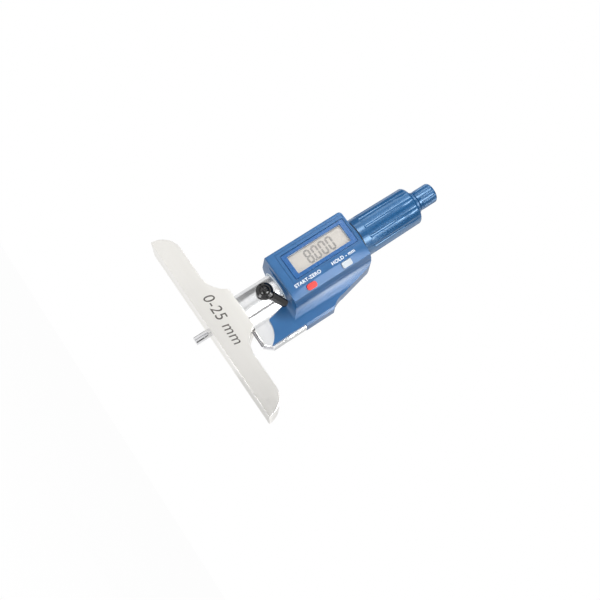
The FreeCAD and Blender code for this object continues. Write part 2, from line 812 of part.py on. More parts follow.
def frame_body():
    spine = turned("spine", [
        (0, "stem_low"), ("stem_radius", "stem_low"), ("stem_radius", "hub_height"),
        ("neck_radius", "hub_height"), ("neck_radius", "neck_top"),
        ("barrel_radius", "neck_top"), ("barrel_radius", "flange_low"),
        ("barrel_flange_radius", "flange_low"), ("barrel_flange_radius", "barrel_top"),
        (0, "barrel_top"),
    ])
    neck = slab(
        "neck_blend", "XY_Plane", neck_section("0", "plate_notch"), "plate_foot", "neck_top")
    sleeve_ring = cylinder("sleeve_ring", "ring_radius", "ring_low", "ring_top")
    blank = fuse("frame_blank", spine, neck, plate(), sleeve_ring)
    bores = turned("frame_bores", [
        (0, "stem_low - overrun"), ("passage_radius", "stem_low - overrun"),
        ("passage_radius", "bush_low"), ("bush_radius + seat_gap", "bush_low"),
        ("bush_radius + seat_gap", "barrel_top"), ("link_x", "barrel_top"),
        ("link_x", "ring_low"), ("thread_radius + ring_floor_relief", "ring_low"),
        ("thread_radius + ring_floor_relief", "ring_low + ring_floor"),
        ("sleeve_seat_radius + seat_gap", "ring_low + ring_floor"),
        ("sleeve_seat_radius + seat_gap", "ring_top + overrun"), (0, "ring_top + overrun"),
    ])
    lock_hole = cylinder(
        "lock_hole", "lock_shaft_radius + running_gap", minus("neck_radius + overrun"), 0,
        axis="y", at=(0, "lock_z"))
    lock_seat = cylinder(
        "lock_seat", "boss_radius + free_gap", minus("neck_radius + overrun"),
        minus("boss_seat"), axis="y", at=(0, "lock_z"))
    plate_holes = [
        cylinder(
            "plate_hole_%d" % number, "cover_screw_radius + free_gap",
            minus("plate_half + overrun"), "plate_half + overrun", axis="y",
            at=("right_screw_x", right_screw_level(number)))
        for number in (1, 2)
    ]
    stator_holes = [
        cylinder(
            "stator_hole_%d" % number, "stator_screw_radius + running_gap",
            "barrel_top - stator_screw_length", "barrel_top + overrun", at=spot)
        for number, spot in stator_spots()
    ]
    keep(cut(
        "frame_cut", blank, bores, lock_hole, lock_seat, *plate_holes, *stator_holes
    ), "frame_body")


def right_screw_level(number):
    return "housing_low + right_screw_inset + right_screw_pitch * %d" % (number - 1)


def stator_spots():
    """The numbered places of the screws in the stator, evenly spread."""
    for number in range(1, STATOR_SCREWS + 1):
        angle = "90 + 360 / %d * %d" % (STATOR_SCREWS, number)
        yield number, (
            "stator_screw_circle * cos(%s)" % angle, "stator_screw_circle * sin(%s)" % angle)


# Spindle, rod and feed

def spindle():
    solid = turned("spindle_turned", [
        ("rod_bore", "spindle_low"), ("spindle_radius", "spindle_low"),
        ("spindle_radius", "thread_low"), ("thread_radius", "thread_low"),
        ("thread_radius", "thread_top"), ("spindle_radius", "thread_top"),
        ("spindle_radius", "core_top"), ("spindle_tip_radius", "core_top"),
        ("spindle_tip_radius", "spindle_top"), ("clamp_nut_radius + seat_gap", "spindle_top"),
        ("clamp_nut_radius + seat_gap", "clamp_nut_low - seat_gap"),
        ("rod_bore", "clamp_nut_low - seat_gap"),
    ])
    keyway = block(
        "keyway", ("spindle_radius - key_depth", "spindle_radius + overrun"),
        ("-key_width / 2 - running_gap", "key_width / 2 + running_gap"),
        ("key_low - travel - free_gap", "key_top + free_gap"))
    keep(cut("spindle_cut", solid, keyway), "spindle")
    keep(ring(
        "guide_bush", "spindle_radius + running_gap", "bush_radius", "bush_low + seat_gap",
        "bush_low + bush_length"), "spindle_guide_bush")


def measuring_rod():
    keep(turned("rod", [
        (0, "-rod_reach"), ("rod_radius - rod_edge", "-rod_reach"),
        ("rod_radius", "rod_edge - rod_reach"), ("rod_radius", "rod_top - rod_edge"),
        ("rod_radius - rod_edge", "rod_top"), (0, "rod_top"),
    ]), "measuring_rod")
    keep(ring(
        "rod_nut", "rod_radius + seat_gap", "clamp_nut_radius", "clamp_nut_low",
        "clamp_nut_low + clamp_nut_height"), "rod_clamp_nut")


def nut():
    keep(turned("nut", [
        ("thread_radius + running_gap", "nut_low"),
        ("sleeve_nut_bore - running_gap", "nut_low"),
        ("sleeve_nut_bore - running_gap", "adjuster_low - nut_taper"),
        ("adjuster_bore", "adjuster_low"),
        ("adjuster_bore", "nut_top"),
        ("thread_radius + running_gap", "nut_top"),
    ]), "spindle_nut")
    keep(ring(
        "adjuster", "adjuster_bore + running_gap", "sleeve_nut_bore - running_gap",
        "adjuster_low + seat_gap", "adjuster_low + adjuster_height"), "adjusting_nut")


def inner_sleeve():
    keep(turned("sleeve", [
        ("sleeve_bore", "sleeve_low"), ("sleeve_seat_radius", "sleeve_low"),
        ("sleeve_seat_radius", "ring_top + seat_gap"), ("sleeve_radius", "ring_top + seat_gap"),
        ("sleeve_radius", "sleeve_top"), ("sleeve_nut_bore", "sleeve_top"),
        ("sleeve_nut_bore", "nut_low - seat_gap"), ("sleeve_bore", "nut_low - seat_gap"),
    ]), "inner_sleeve")


# Thimble

def thimble():
    keep(turned("core", [
        ("core_radius - core_wall", "thimble_low + core_lift"),
        ("core_radius", "thimble_low + core_lift"), ("core_radius", "core_top - seat_gap"),
        ("spindle_radius + seat_gap", "core_top - seat_gap"),
        ("spindle_radius + seat_gap", "core_ceiling"),
        ("core_radius - core_wall", "core_ceiling"),
    ]), "thimble_core")
    shell = turned("grip_shell", [
        ("core_radius + seat_gap", "thimble_low"),
        ("thimble_radius - thimble_foot_edge", "thimble_low"),
        ("thimble_radius", "thimble_low + thimble_foot_edge"),
        ("thimble_top_radius", "thimble_top - thimble_rounding"),
        Bend("thimble_rounding", "right"),
        ("thimble_top_radius - thimble_rounding", "thimble_top"),
        ("spindle_tip_radius + seat_gap", "thimble_top"),
        ("spindle_tip_radius + seat_gap", "core_top"),
        ("core_radius + seat_gap", "core_top"),
    ])
    flutes = grooves(
        "flute", FLUTES, "flute_radius", "thimble_radius + flute_radius - flute_depth",
        "thimble_low + thimble_band + flute_radius", "thimble_top + overrun")
    keep(cut("grip_fluted", shell, *flutes), "thimble_grip")


def grooves(name, count, radius, reach, low, high):
    """Cutters for upright grooves round a grip, each with a round lower end."""
    cutters = []
    for number in range(count):
        angle = "360 / %d * %d" % (count, number)
        spot = ("(%s) * cos(%s)" % (reach, angle), "(%s) * sin(%s)" % (reach, angle))
        cutters.append(cylinder("%s_%d" % (name, number + 1), radius, low, high, at=spot))
        ball = doc.addObject("Part::Sphere", "%s_end_%d" % (name, number + 1))
        bind(ball, "Radius", radius)
        place(ball, spot[0], spot[1], low)
        cutters.append(ball)
    return cutters


# Ratchet

def ratchet():
    recess = "spindle_tip_radius + seat_gap"
    keep(turned("collar", [
        (recess, "collar_low"), ("collar_radius - collar_edge", "collar_low"),
        ("collar_radius", "collar_low + collar_edge"),
        ("collar_radius", "collar_top - collar_edge"),
        ("collar_radius - collar_edge", "collar_top"), ("stud_radius", "collar_top"),
        ("stud_radius", "stud_top"), ("ratchet_screw_radius + seat_gap", "stud_top"),
        ("ratchet_screw_radius + seat_gap", "stud_hole_low"), (0, "stud_hole_low"),
        (0, "spindle_top + seat_gap"), (recess, "spindle_top + seat_gap"),
    ]), "ratchet_collar")
    keep(ratchet_disc(), "ratchet_disc")
    keep(ring(
        "drive_disc", "stud_radius + running_gap", "knob_bore - seat_gap",
        "disc_top + running_gap", "shelf_low - seat_gap"), "ratchet_drive_disc")
    keep(coil_spring(), "ratchet_spring")
    head_low = "stud_top + seat_gap"
    screw = turned("stud_screw", [
        (0, "stud_hole_low + free_gap"), ("ratchet_screw_radius", "stud_hole_low + free_gap"),
        ("ratchet_screw_radius", head_low), ("ratchet_head_radius", head_low),
        ("ratchet_head_radius", head_low + " + ratchet_head_height"),
        (0, head_low + " + ratchet_head_height"),
    ])
    slot = block(
        "stud_screw_slot", (minus("ratchet_head_radius"), "ratchet_head_radius"),
        ("-cross_slot_width / 2", "cross_slot_width / 2"),
        (head_low + " + ratchet_head_height / 2", head_low + " + ratchet_head_height + overrun"))
    keep(cut("stud_screw_cut", screw, slot), "ratchet_screw")
    ratchet_knob()


def ratchet_disc():
    """The fixed toothed disc: an outline of pointed teeth, with a hole for the stud."""
    tips = []
    for number in range(RATCHET_TEETH * 2):
        radius = "tooth_radius" if number % 2 else "(tooth_radius - tooth_depth)"
        angle = "180 / %d * %d" % (RATCHET_TEETH, number)
        spot = ["%s * cos(%s)" % (radius, angle), "%s * sin(%s)" % (radius, angle)]
        tips.append(tuple(0 if abs(amount(text)) < TOUCH else text for text in spot))
    body = slab("toothed_disc", "XY_Plane", tips, "collar_top + seat_gap", "disc_top")
    hole = cylinder("toothed_disc_hole", "stud_radius + seat_gap", "collar_low", "knob_top")
    return cut("toothed_disc_cut", body, hole)


def coil_spring():
    """A round wire wound up the stud between the shelf in the knob and the screw's head."""
    path = doc.addObject("Part::Helix", "coil_path")
    bind(path, "Pitch", "coil_pitch")
    bind(path, "Height", "coil_height")
    bind(path, "Radius", "coil_radius")
    place(path, z="shelf_top + wire_radius + running_gap")
    wire = doc.addObject("Part::Circle", "coil_wire")
    bind(wire, "Radius", "wire_radius")
    wire.Placement.Rotation = FreeCAD.Rotation(FreeCAD.Vector(1, 0, 0), 90)
    place(wire, x="coil_radius", z="shelf_top + wire_radius + running_gap")
    coil = doc.addObject("Part::Sweep", "coil")
    coil.Sections = [wire]
    coil.Spine = (path, ["Edge1"])
    coil.Solid = True
    coil.Frenet = True
    return coil


def ratchet_knob():
    shell = turned("knob_shell", [
        ("knob_bore", "knob_low"), ("knob_radius - knob_foot", "knob_low"),
        ("knob_radius", "knob_low + knob_foot"), ("knob_radius", "knob_top - knob_edge"),
        Bend("knob_edge", "right"), ("knob_radius - knob_edge", "knob_top"),
        ("knob_cap_radius + seat_gap", "knob_top"),
        ("knob_cap_radius + seat_gap", "shelf_top"),
        ("stud_radius + running_gap", "shelf_top"), ("stud_radius + running_gap", "shelf_low"),
        ("knob_bore", "shelf_low"),
    ])
    ribs = grooves(
        "knob_groove", KNOB_RIBS, "knob_groove_radius",
        "knob_radius + knob_groove_radius - knob_rib_depth",
        "knob_low + knob_rib_land + knob_groove_radius", "knob_top + overrun")
    keep(cut("knob_ribbed", shell, *ribs), "ratchet_knob")
    keep(cylinder("knob_lid", "knob_cap_radius", "knob_cap_low", "knob_top - seat_gap"),
         "knob_cap")


# Encoder

def encoder():
    washer = ring(
        "stator_ring", "stator_bore", "disc_radius", "barrel_top + seat_gap", "stator_top")
    ear = block(
        "stator_tab", ("-ribbon_width / 2", "ribbon_width / 2"),
        (minus("encoder_reach"), minus("disc_radius - stator_ear")),
        ("barrel_top + seat_gap", "stator_top"))
    sockets = []
    for number, spot in stator_spots():
        sockets.append(cylinder(
            "stator_hole_in_%d" % number, "stator_screw_radius + running_gap", "flange_low",
            "stator_top", at=spot))
        sockets.append(cylinder(
            "stator_sink_%d" % number, "stator_head_radius + running_gap",
            "stator_top - stator_head_height - seat_gap", "stator_top + overrun", at=spot))
        screw = fuse(
            "stator_screw_%d" % number,
            cylinder(
                "stator_shank_%d" % number, "stator_screw_radius",
                "barrel_top - stator_screw_length + seat_gap", "stator_top - seat_gap", at=spot),
            cylinder(
                "stator_head_%d" % number, "stator_head_radius",
                "stator_top - stator_head_height", "stator_top - seat_gap", at=spot))
        keep(screw, "stator_screw_%d" % number)
    keep(cut("stator_cut", fuse("stator_blank", washer, ear), *sockets), "encoder_stator")
    keep(ring(
        "friction_washer", "stator_bore + seat_gap", "stator_bore + washer_width",
        "stator_top + seat_gap", "stator_top + seat_gap + washer_thickness"), "thrust_washer")
    keep(ring(
        "rotor_ring", "rotor_hub_radius + seat_gap", "disc_radius", "rotor_low",
        "rotor_low + disc_thickness"), "encoder_rotor")
    rotor_bush()
    keep(turned("spring_washer", [
        ("rotor_hub_radius", "rotor_top + seat_gap"),
        ("rotor_flange_radius", "ring_low - seat_gap - disc_spring_thickness"),
        ("rotor_flange_radius", "ring_low - seat_gap"),
        ("rotor_hub_radius", "rotor_top + seat_gap + disc_spring_thickness"),
    ]), "disc_spring")


def rotor_bush():
    spool = turned("spool", [
        ("spindle_radius + running_gap", "rotor_low"), ("rotor_hub_radius", "rotor_low"),
        ("rotor_hub_radius", "rotor_flange_low"), ("rotor_flange_radius", "rotor_flange_low"),
        ("rotor_flange_radius", "rotor_flange_low + rotor_flange_height"),
        ("rotor_hub_radius", "rotor_flange_low + rotor_flange_height"),
        ("rotor_hub_radius", "rotor_top - rotor_flange_height"),
        ("rotor_flange_radius", "rotor_top - rotor_flange_height"),
        ("rotor_flange_radius", "rotor_top"), ("spindle_radius + running_gap", "rotor_top"),
    ])
    slot = block(
        "rotor_key_slot", (0, "rotor_flange_radius"),
        ("-key_width / 2 - seat_gap", "key_width / 2 + seat_gap"),
        ("key_low - seat_gap", "key_top + seat_gap"))
    keep(cut("spool_cut", spool, slot), "rotor_bush")
    keep(block(
        "feather", ("spindle_radius - key_depth + running_gap", "rotor_hub_radius"),
        ("-key_width / 2", "key_width / 2"), ("key_low", "key_top")), "rotor_key")


# Spindle lock

def lock():
    keep(cylinder(
        "pad", "lock_pad_radius", minus("lock_pad_back"), minus("lock_pad_face"), axis="y",
        at=(0, "lock_z")), "lock_pad")
    shaft_back = minus("lock_pad_back + seat_gap")
    shank = cylinder(
        "lock_shank", "lock_shaft_radius", minus("boss_back"), shaft_back, axis="y",
        at=(0, "lock_z"))
    square = lock_square("lock_square_end", "0", "lock_head_back - end_gap", "boss_back")
    thread = cylinder(
        "lock_thread", "lock_screw_radius + seat_gap", minus("boss_front"),
        minus("lock_head_back - lock_screw_length - free_gap"), axis="y", at=(0, "lock_z"))
    keep(cut("lock_shaft_cut", fuse("lock_shaft_blank", shank, square), thread), "lock_shaft")
    lever()
    head = cylinder(
        "lock_head", "lock_head_radius", minus("lock_head_front"),
        minus("lock_head_back + seat_gap"), axis="y", at=(0, "lock_z"))
    stalk = cylinder(
        "lock_stalk", "lock_screw_radius", minus("lock_head_back + seat_gap"),
        minus("lock_head_back - lock_screw_length"), axis="y", at=(0, "lock_z"))
    slots = [
        block(
            "lock_slot_%d" % number, (minus(across), across),
            (minus("lock_head_front + overrun"), minus("lock_head_front - cross_slot_depth")),
            ("lock_z - (%s)" % along, "lock_z + (%s)" % along))
        for number, (across, along) in enumerate((
            ("cross_slot_width / 2", "cross_slot_length / 2"),
            ("cross_slot_length / 2", "cross_slot_width / 2")), start=1)
    ]
    keep(cut("lock_screw_cut", fuse("lock_screw_blank", head, stalk), *slots), "lock_screw")


def lock_square(name, gap, front, back):
    half = "lock_square / 2 + %s" % gap
    return block(
        name, (minus(half), half), (minus(front), minus(back)),
        ("lock_z - (%s)" % half, "lock_z + (%s)" % half))


def lever():
    """The lever, drawn level to the right and then turned up towards the housing."""
    boss = cylinder(
        "lever_boss", "boss_radius", minus("boss_front"), minus("boss_back"), axis="y")
    arm = slab("lever_arm", "XZ_Plane", [
        (0, "-lever_root_width / 2"), ("lever_reach", "-lever_tip_radius"),
        Bend("lever_tip_radius", "right"), ("lever_length", 0),
        Bend("lever_tip_radius", "right"), ("lever_reach", "lever_tip_radius"),
        (0, "lever_root_width / 2"),
    ], minus("lever_back + lever_thickness"), minus("lever_back"))
    blank = fuse("lever_blank", boss, arm)
    blank.Placement.Rotation = FreeCAD.Rotation(FreeCAD.Vector(0, -1, 0), 1)
    bind(blank, ".Placement.Rotation.Angle", "lever_angle")
    place(blank, z="lock_z")
    hole = lock_square("lever_square", "seat_gap", "boss_front", "boss_back - overrun")
    sink = cylinder(
        "lever_sink", "lock_head_radius + seat_gap", minus("boss_front + overrun"),
        minus("lock_head_back"), axis="y", at=(0, "lock_z"))
    keep(cut("lever_cut", blank, hole, sink), "lock_lever")


# Housing

def front_section():
    return [
        (minus("face_left - face_rounding"), minus("face_depth")),
        ("face_right", minus("face_depth")), ("strip_right", minus("strip_face")),
        ("flank_right", minus("flank_face")), Bend("flank_radius", "left"),
        ("flank_end", minus("skirt_face")), ("cover_edge_x", minus("skirt_face")),
        ("plate_reach", minus("cover_edge_y")), ("plate_reach", minus("cover_joint")),
        (minus("parting_x"), minus("cover_joint")),
        (minus("face_left"), "face_rounding - face_depth"), Bend("face_rounding", "right"),
    ]


def front_cavity_section():
    return [
        ("wall - face_left", minus("face_inner")), ("inner_strip_x", minus("face_inner")),
        ("inner_flank_x", minus("inner_flank_y")),
        ("flank_right - wall", minus("flank_face")), Bend("flank_radius + wall", "left"),
        ("inner_flank_end", minus("parting")), ("inner_flank_end", "overrun - parting"),
        ("wall - parting_x", "overrun - parting"), ("wall - parting_x", minus("parting")),
    ]


def rear_section():
    return [
        ("plate_reach", minus("parting")), ("plate_reach", "cover_edge_y"),
        ("cover_edge_x", "skirt_face"),
        ("(barrel_back + rear_fillet) * rear_cosine", "skirt_face"), Bend("rear_fillet", "left"),
        ("barrel_back * rear_cosine", "barrel_back * rear_sine"), Bend("barrel_back", "right"),
        (minus("barrel_side"), "barrel_side_place"), (minus("parting_x"), minus("parting")),
    ]


def side_region(name, inset, low, high, left, y_range):
    """Everything left of the housing's right side, as a slab across the housing."""
    return slab(
        name, "XZ_Plane", [(left, low)] + cover_side(inset, low, high) + [(left, high)],
        *y_range)


def skirt(side, section):
    """The thin apron on the plate below one cover, and its fillet to the housing's end."""
    name = "front" if side < 0 else "rear"
    depths = ["skirt_face", "skirt_back"]
    low, high = [minus(text) for text in depths] if side < 0 else reversed(depths)
    apron = slab(name + "_apron", "XZ_Plane", [
        ("skirt_left_top", "fillet_low"), ("skirt_left_low", "skirt_knee_z + skirt_corner"),
        Bend("skirt_corner", "right"), ("skirt_knee", "skirt_knee_z"),
        Bend("skirt_sweep", "left"), ("cover_edge_x", "plate_low + skirt_rise"),
        ("cover_edge_x", "housing_floor"), ("skirt_left_top", "housing_floor"),
    ], low, high)
    across = [
        ("skirt_face + end_fillet", "housing_low + free_gap"),
        ("skirt_face + end_fillet", "housing_low"), Bend("end_fillet", "left"),
        ("skirt_face", "fillet_low"), ("skirt_back", "fillet_low"),
        ("skirt_back", "housing_low + free_gap"),
    ]
    if side < 0:
        across = [item if isinstance(item, Bend) else (minus(item[0]), item[1])
                  for item in across]
    else:
        across = list(reversed(across))
    wedge = slab(name + "_wedge", "YZ_Plane", across, "skirt_left_top", "cover_edge_x")
    limit = slab(name + "_limit", "XY_Plane", section, "fillet_low", "housing_floor")
    return [apron, common(name + "_fillet", wedge, limit)]


def end_collar(side):
    """The low cone round the neck at the housing's end, cut off at the joint of the covers."""
    name = "front" if side < 0 else "rear"
    cone = turned(name + "_cone", [
        ("neck_radius + running_gap", "housing_low - collar_drop"),
        ("neck_radius + collar_rim", "housing_low - collar_drop"),
        ("barrel_side - collar_rim", "housing_low"),
        ("barrel_side - collar_rim", "housing_low + free_gap"),
        ("neck_radius + running_gap", "housing_low + free_gap"),
    ])
    y_range = (minus("flank_face"), minus("cover_joint")) if side < 0 else (
        minus("parting"), "barrel_back")
    window = block(
        name + "_cone_window", (minus("barrel_side"), "skirt_left_top"), y_range,
        ("fillet_low", "housing_floor"))
    return common(name + "_collar", cone, window)


def end_holes(name):
    """Cutters for the neck and plate at one end of a cover and the sleeve at the other."""
    neck = slab(
        name + "_neck_hole", "XY_Plane", neck_section("skirt_gap", "plate_notch"),
        "fillet_low - overrun", "housing_floor + free_gap")
    sleeve = cylinder(
        name + "_sleeve_hole", "sleeve_radius + sleeve_clearance", "housing_roof - free_gap",
        "housing_top + overrun")
    return [neck, sleeve]


def strip_place(thing, rise):
    """Put a thing drawn square to -Y onto the sloping strip, at a height on it."""
    thing.Placement.Rotation = FreeCAD.Rotation(FreeCAD.Vector(0, 0, 1), 1)
    bind(thing, ".Placement.Rotation.Angle", "strip_tilt")
    place(thing, "strip_mid_x", minus("strip_mid_y"), rise)
    return thing


BUTTONS = (
    ("red_button", "red_rounding", "red_z"),
    ("white_button", "white_rounding", "white_z"),
)


def front_cover():
    outer = cut(
        "front_bevelled",
        slab("front_outer", "XY_Plane", front_section(), "housing_low", "housing_top"),
        slab("end_bevel", "YZ_Plane", [
            (minus("face_depth + overrun"), "housing_low - overrun"),
            ("end_edge + overrun - face_depth", "housing_low - overrun"),
            (minus("face_depth + overrun"), "housing_low + end_edge + overrun"),
        ], minus("barrel_side"), "plate_reach"))
    trimmed = common("front_trimmed", outer, side_region(
        "front_side", "0", "housing_low", "housing_top", minus("barrel_side"),
        (minus("face_depth"), 0)))
    cavity = common(
        "front_cavity",
        slab("front_cavity_core", "XY_Plane", front_cavity_section(), "housing_floor",
             "housing_roof"),
        side_region("front_cavity_side", "wall", "housing_floor", "housing_top",
                    minus("barrel_side"), (minus("face_depth"), 0)))
    shell = cut("front_shell", trimmed, cavity)
    body = fuse(
        "front_body", shell, *skirt(-1, front_section()), end_collar(-1), *front_bosses(trimmed))
    keep(cut("front_cut", body, *end_holes("front"), *front_openings(), *front_screw_holes()),
         "front_cover")


def front_bosses(outer):
    """Bosses for the cover screws and posts for the two boards."""
    posts = []
    for number in (1, 2):
        posts.append(cylinder(
            "left_boss_%d" % number, "cover_boss_radius", minus("face_inner"),
            minus("cover_joint"), axis="y", at=(minus("left_screw_x"), left_level(number))))
        posts.append(cylinder(
            "right_boss_%d" % number, "cover_boss_radius", minus("face_inner"),
            minus("cover_joint"), axis="y", at=("right_screw_x", right_screw_level(number))))
    bosses = common("front_bosses", fuse("front_boss_blanks", *posts), outer)
    board_posts = [
        cylinder(
            "board_post_%d" % number, "post_radius", minus("face_inner + free_gap"),
            minus("board_front + seat_gap"), axis="y", at=spot)
        for number, spot in board_spots()
    ]
    key_posts = [
        strip_place(
            carrier("key_post_%d" % number, cylinder(
                "key_post_rod_%d" % number, "key_post_radius", "wall - free_gap",
                "key_board_front - seat_gap", axis="y")), rise)
        for number, rise in key_spots()
    ]
    return [bosses] + board_posts + key_posts


def left_level(number):
    return "housing_low + left_screw_inset" if number == 1 else "housing_top - left_screw_inset"


def board_spots():
    """The numbered places of the screws that hold the main board, corner to corner."""
    low = "housing_floor + post_low"
    spots = (("post_right", "housing_roof - post_low"), (minus("post_left"), low))
    return enumerate(spots, start=1)


def key_spots():
    return enumerate(("(red_z + white_z) / 2",), start=1)


def front_openings():
    pocket = block(
        "bezel_pocket",
        (minus("bezel_left + seat_gap"), "bezel_width - bezel_left + seat_gap"),
        (minus("face_depth + overrun"), minus("bezel_floor - seat_gap")),
        ("bezel_z - seat_gap", "bezel_z + bezel_length + seat_gap"))
    opening = centred_on_display(
        "window_opening", "window_width + seat_gap * 2", "window_length + seat_gap * 2",
        "bezel_floor", "face_inner - free_gap")
    keyholes = [
        strip_place(slab(
            node + "_hole", "XZ_Plane", rounded_rectangle(
                "button_width + button_gap * 2", "button_length + button_gap * 2",
                rounding + " + button_gap"),
            "-overrun", "wall + free_gap"), rise)
        for node, rounding, rise in BUTTONS
    ]
    return [pocket, opening] + keyholes


def centred_on_display(name, width, length, front, back):
    """A block in the middle of the display, between two depths in front of the axis."""
    return block(
        name, ("bezel_mid_x - (%s) / 2" % width, "bezel_mid_x + (%s) / 2" % width),
        (minus(front), minus(back)),
        ("bezel_mid_z - (%s) / 2" % length, "bezel_mid_z + (%s) / 2" % length))


def front_screw_holes():
    holes = []
    for number in (1, 2):
        holes.append(cylinder(
            "left_thread_%d" % number, "cover_screw_radius + seat_gap",
            minus("left_screw_end + free_gap"), 0, axis="y",
            at=(minus("left_screw_x"), left_level(number))))
        holes.append(cylinder(
            "right_thread_%d" % number, "cover_screw_radius + seat_gap",
            minus("parting + right_screw_bite + free_gap"), 0, axis="y",
            at=("right_screw_x", right_screw_level(number))))
    for number, spot in board_spots():
        holes.append(cylinder(
            "board_thread_%d" % number, "small_screw_radius + seat_gap",
            minus("board_back + small_screw_length + free_gap"), 0, axis="y", at=spot))
    for number, rise in key_spots():
        holes.append(strip_place(
            carrier("key_thread_%d" % number, cylinder(
                "key_thread_rod_%d" % number, "small_screw_radius + seat_gap",
                "key_board_back - key_screw_length - free_gap", "key_board_back", axis="y")),
            rise))
    return holes


def rear_cover():
    outer = common(
        "rear_trimmed",
        slab("rear_outer", "XY_Plane", rear_section(), "housing_low", "housing_top"),
        side_region("rear_side", "0", "housing_low", "housing_top", minus("barrel_back + wall"),
                    (minus("face_depth"), "face_depth")))
    cavity = cylinder(
        "rear_cavity", "barrel_back - wall", "housing_floor", "housing_roof")
    plate_slot = slab("plate_slot", "XZ_Plane", [
        (0, "plate_step")] + cover_side("wall", "plate_step", "housing_top")[:-2] + [
            (0, "tail_z")], minus("face_depth"), "plate_half + seat_gap")
    shell = cut("rear_shell", outer, cavity, plate_slot)
    cup = cylinder(
        "battery_cup", "cell_radius + cell_clearance + cup_wall", "cup_low", "cap_rim", axis="y",
        at=(0, "cell_z"))
    cap_boss = cylinder(
        "cap_boss", "boss_outer", "barrel_back - wall - boss_wall", "cap_rim", axis="y",
        at=(0, "cell_z"))
    bosses = [
        cylinder(
            "rear_boss_%d" % number, "cover_boss_radius", minus("parting"),
            "left_head_depth + wall", axis="y",
            at=(minus("left_screw_x"), left_level(number)))
        for number in (1, 2)
    ]
    inner = common("rear_bosses", fuse("rear_boss_blanks", *bosses), outer)
    body = fuse(
        "rear_body", shell, *skirt(1, rear_section()), end_collar(1), inner, cup, cap_boss)
    tools = end_holes("rear") + battery_cutters() + rear_screw_holes() + [
        turned("cup_relief", [
            (0, "housing_floor - overrun"), ("neck_radius + free_gap", "housing_floor - overrun"),
            ("neck_radius + free_gap", "neck_top + free_gap"),
            ("barrel_radius + free_gap", "neck_top + free_gap"),
            ("barrel_radius + free_gap", "flange_low - free_gap"),
            ("barrel_flange_radius + free_gap", "flange_low - free_gap"),
            ("barrel_flange_radius + free_gap", "ring_low"), (0, "ring_low"),
        ])]
    keep(cut("rear_cut", body, *tools), "rear_cover")


def battery_cutters():
    spot = (0, "cell_z")
    cell_room = cylinder(
        "cell_room", "cell_radius + cell_clearance", "cup_low + cup_floor", "cap_rim + overrun",
        axis="y", at=spot)
    seal_room = cylinder(
        "seal_room", "cap_radius + cap_gap", "seal_seat", "cap_rim + overrun", axis="y", at=spot)
    side_slot = block(
        "contact_slot",
        (minus("cell_radius + cell_clearance + contact_thickness + seat_gap"),
         minus("cell_radius")),
        ("cup_low + cup_floor", "cell_back"),
        ("cell_z - contact_width / 2 - seat_gap", "cell_z + contact_width / 2 + seat_gap"))
    return [cell_room, seal_room, side_slot]


def rear_screw_holes():
    holes = []
    for number in (1, 2):
        left = (minus("left_screw_x"), left_level(number))
        right = ("right_screw_x", right_screw_level(number))
        holes += [
            cylinder("left_hole_%d" % number, "cover_screw_radius + free_gap",
                     minus("face_depth"), "barrel_back", axis="y", at=left),
            cylinder("left_sink_%d" % number, "cover_head_radius + free_gap",
                     "left_head_depth", "barrel_back", axis="y", at=left),
            cylinder("right_hole_%d" % number, "cover_screw_radius + free_gap", 0,
                     "barrel_back", axis="y", at=right),
            cylinder("right_sink_%d" % number, "cover_head_radius + free_gap",
                     "right_head_depth", "barrel_back", axis="y", at=right),
        ]
    return holes


def cover_screws():
    for number in (1, 2):
        cross_screw(
            "cover_screw_%d" % number, (minus("left_screw_x"), left_level(number)),
            "left_head_depth + seat_gap", minus("left_screw_end"))
        cross_screw(
            "cover_screw_%d" % (number + 2), ("right_screw_x", right_screw_level(number)),
            "right_head_depth + seat_gap", minus("parting + right_screw_bite"))


def cross_screw(node, spot, seat, end):
    """A screw driven from behind towards -Y, with a cross in its flat head."""
    x, z = spot
    top = seat + " + cover_head_height"
    shank = cylinder(node + "_shank", "cover_screw_radius", end, seat, axis="y", at=spot)
    head = cylinder(node + "_head", "cover_head_radius", seat, top, axis="y", at=spot)
    slots = [
        block(
            "%s_slot_%d" % (node, number), ("%s - %s" % (x, across), "%s + %s" % (x, across)),
            (top + " - cover_slot_depth", top + " + overrun"),
            ("%s - %s" % (z, along), "%s + %s" % (z, along)))
        for number, (across, along) in enumerate((
            ("cover_slot_width / 2", "cover_slot_length / 2"),
            ("cover_slot_length / 2", "cover_slot_width / 2")), start=1)
    ]
    keep(cut(node + "_cut", fuse(node + "_blank", shank, head), *slots), node)


# Display and boards

def display():
    frame = block(
        "bezel_plate", (minus("bezel_left"), "bezel_width - bezel_left"),
        (minus("bezel_front"), minus("bezel_floor")), ("bezel_z", "bezel_z + bezel_length"))
    view = block(
        "view_opening", ("view_x", "view_x + view_width"),
        (minus("bezel_front + overrun"), minus("face_inner")),
        ("view_z", "view_z + view_length"))
    keep(cut("bezel_cut", frame, view), "bezel")
    keep(centred_on_display(
        "window_plate", "window_width", "window_length", "bezel_floor - seat_gap",
        "face_inner + seat_gap"), "display_window")
    keep(centred_on_display(
        "panel", "panel_width", "panel_length", "panel_front", "panel_back"), "lcd_panel")
    for number, edge in enumerate((
            "bezel_mid_x - panel_width / 2 + seat_gap",
            "bezel_mid_x + panel_width / 2 - zebra_width - seat_gap"), start=1):
        keep(block(
            "zebra_%d" % number, (edge, edge + " + zebra_width"),
            (minus("panel_back - seat_gap"), minus("board_front + seat_gap")),
            ("bezel_mid_z - zebra_length / 2", "bezel_mid_z + zebra_length / 2")),
            "zebra_strip_%d" % number)


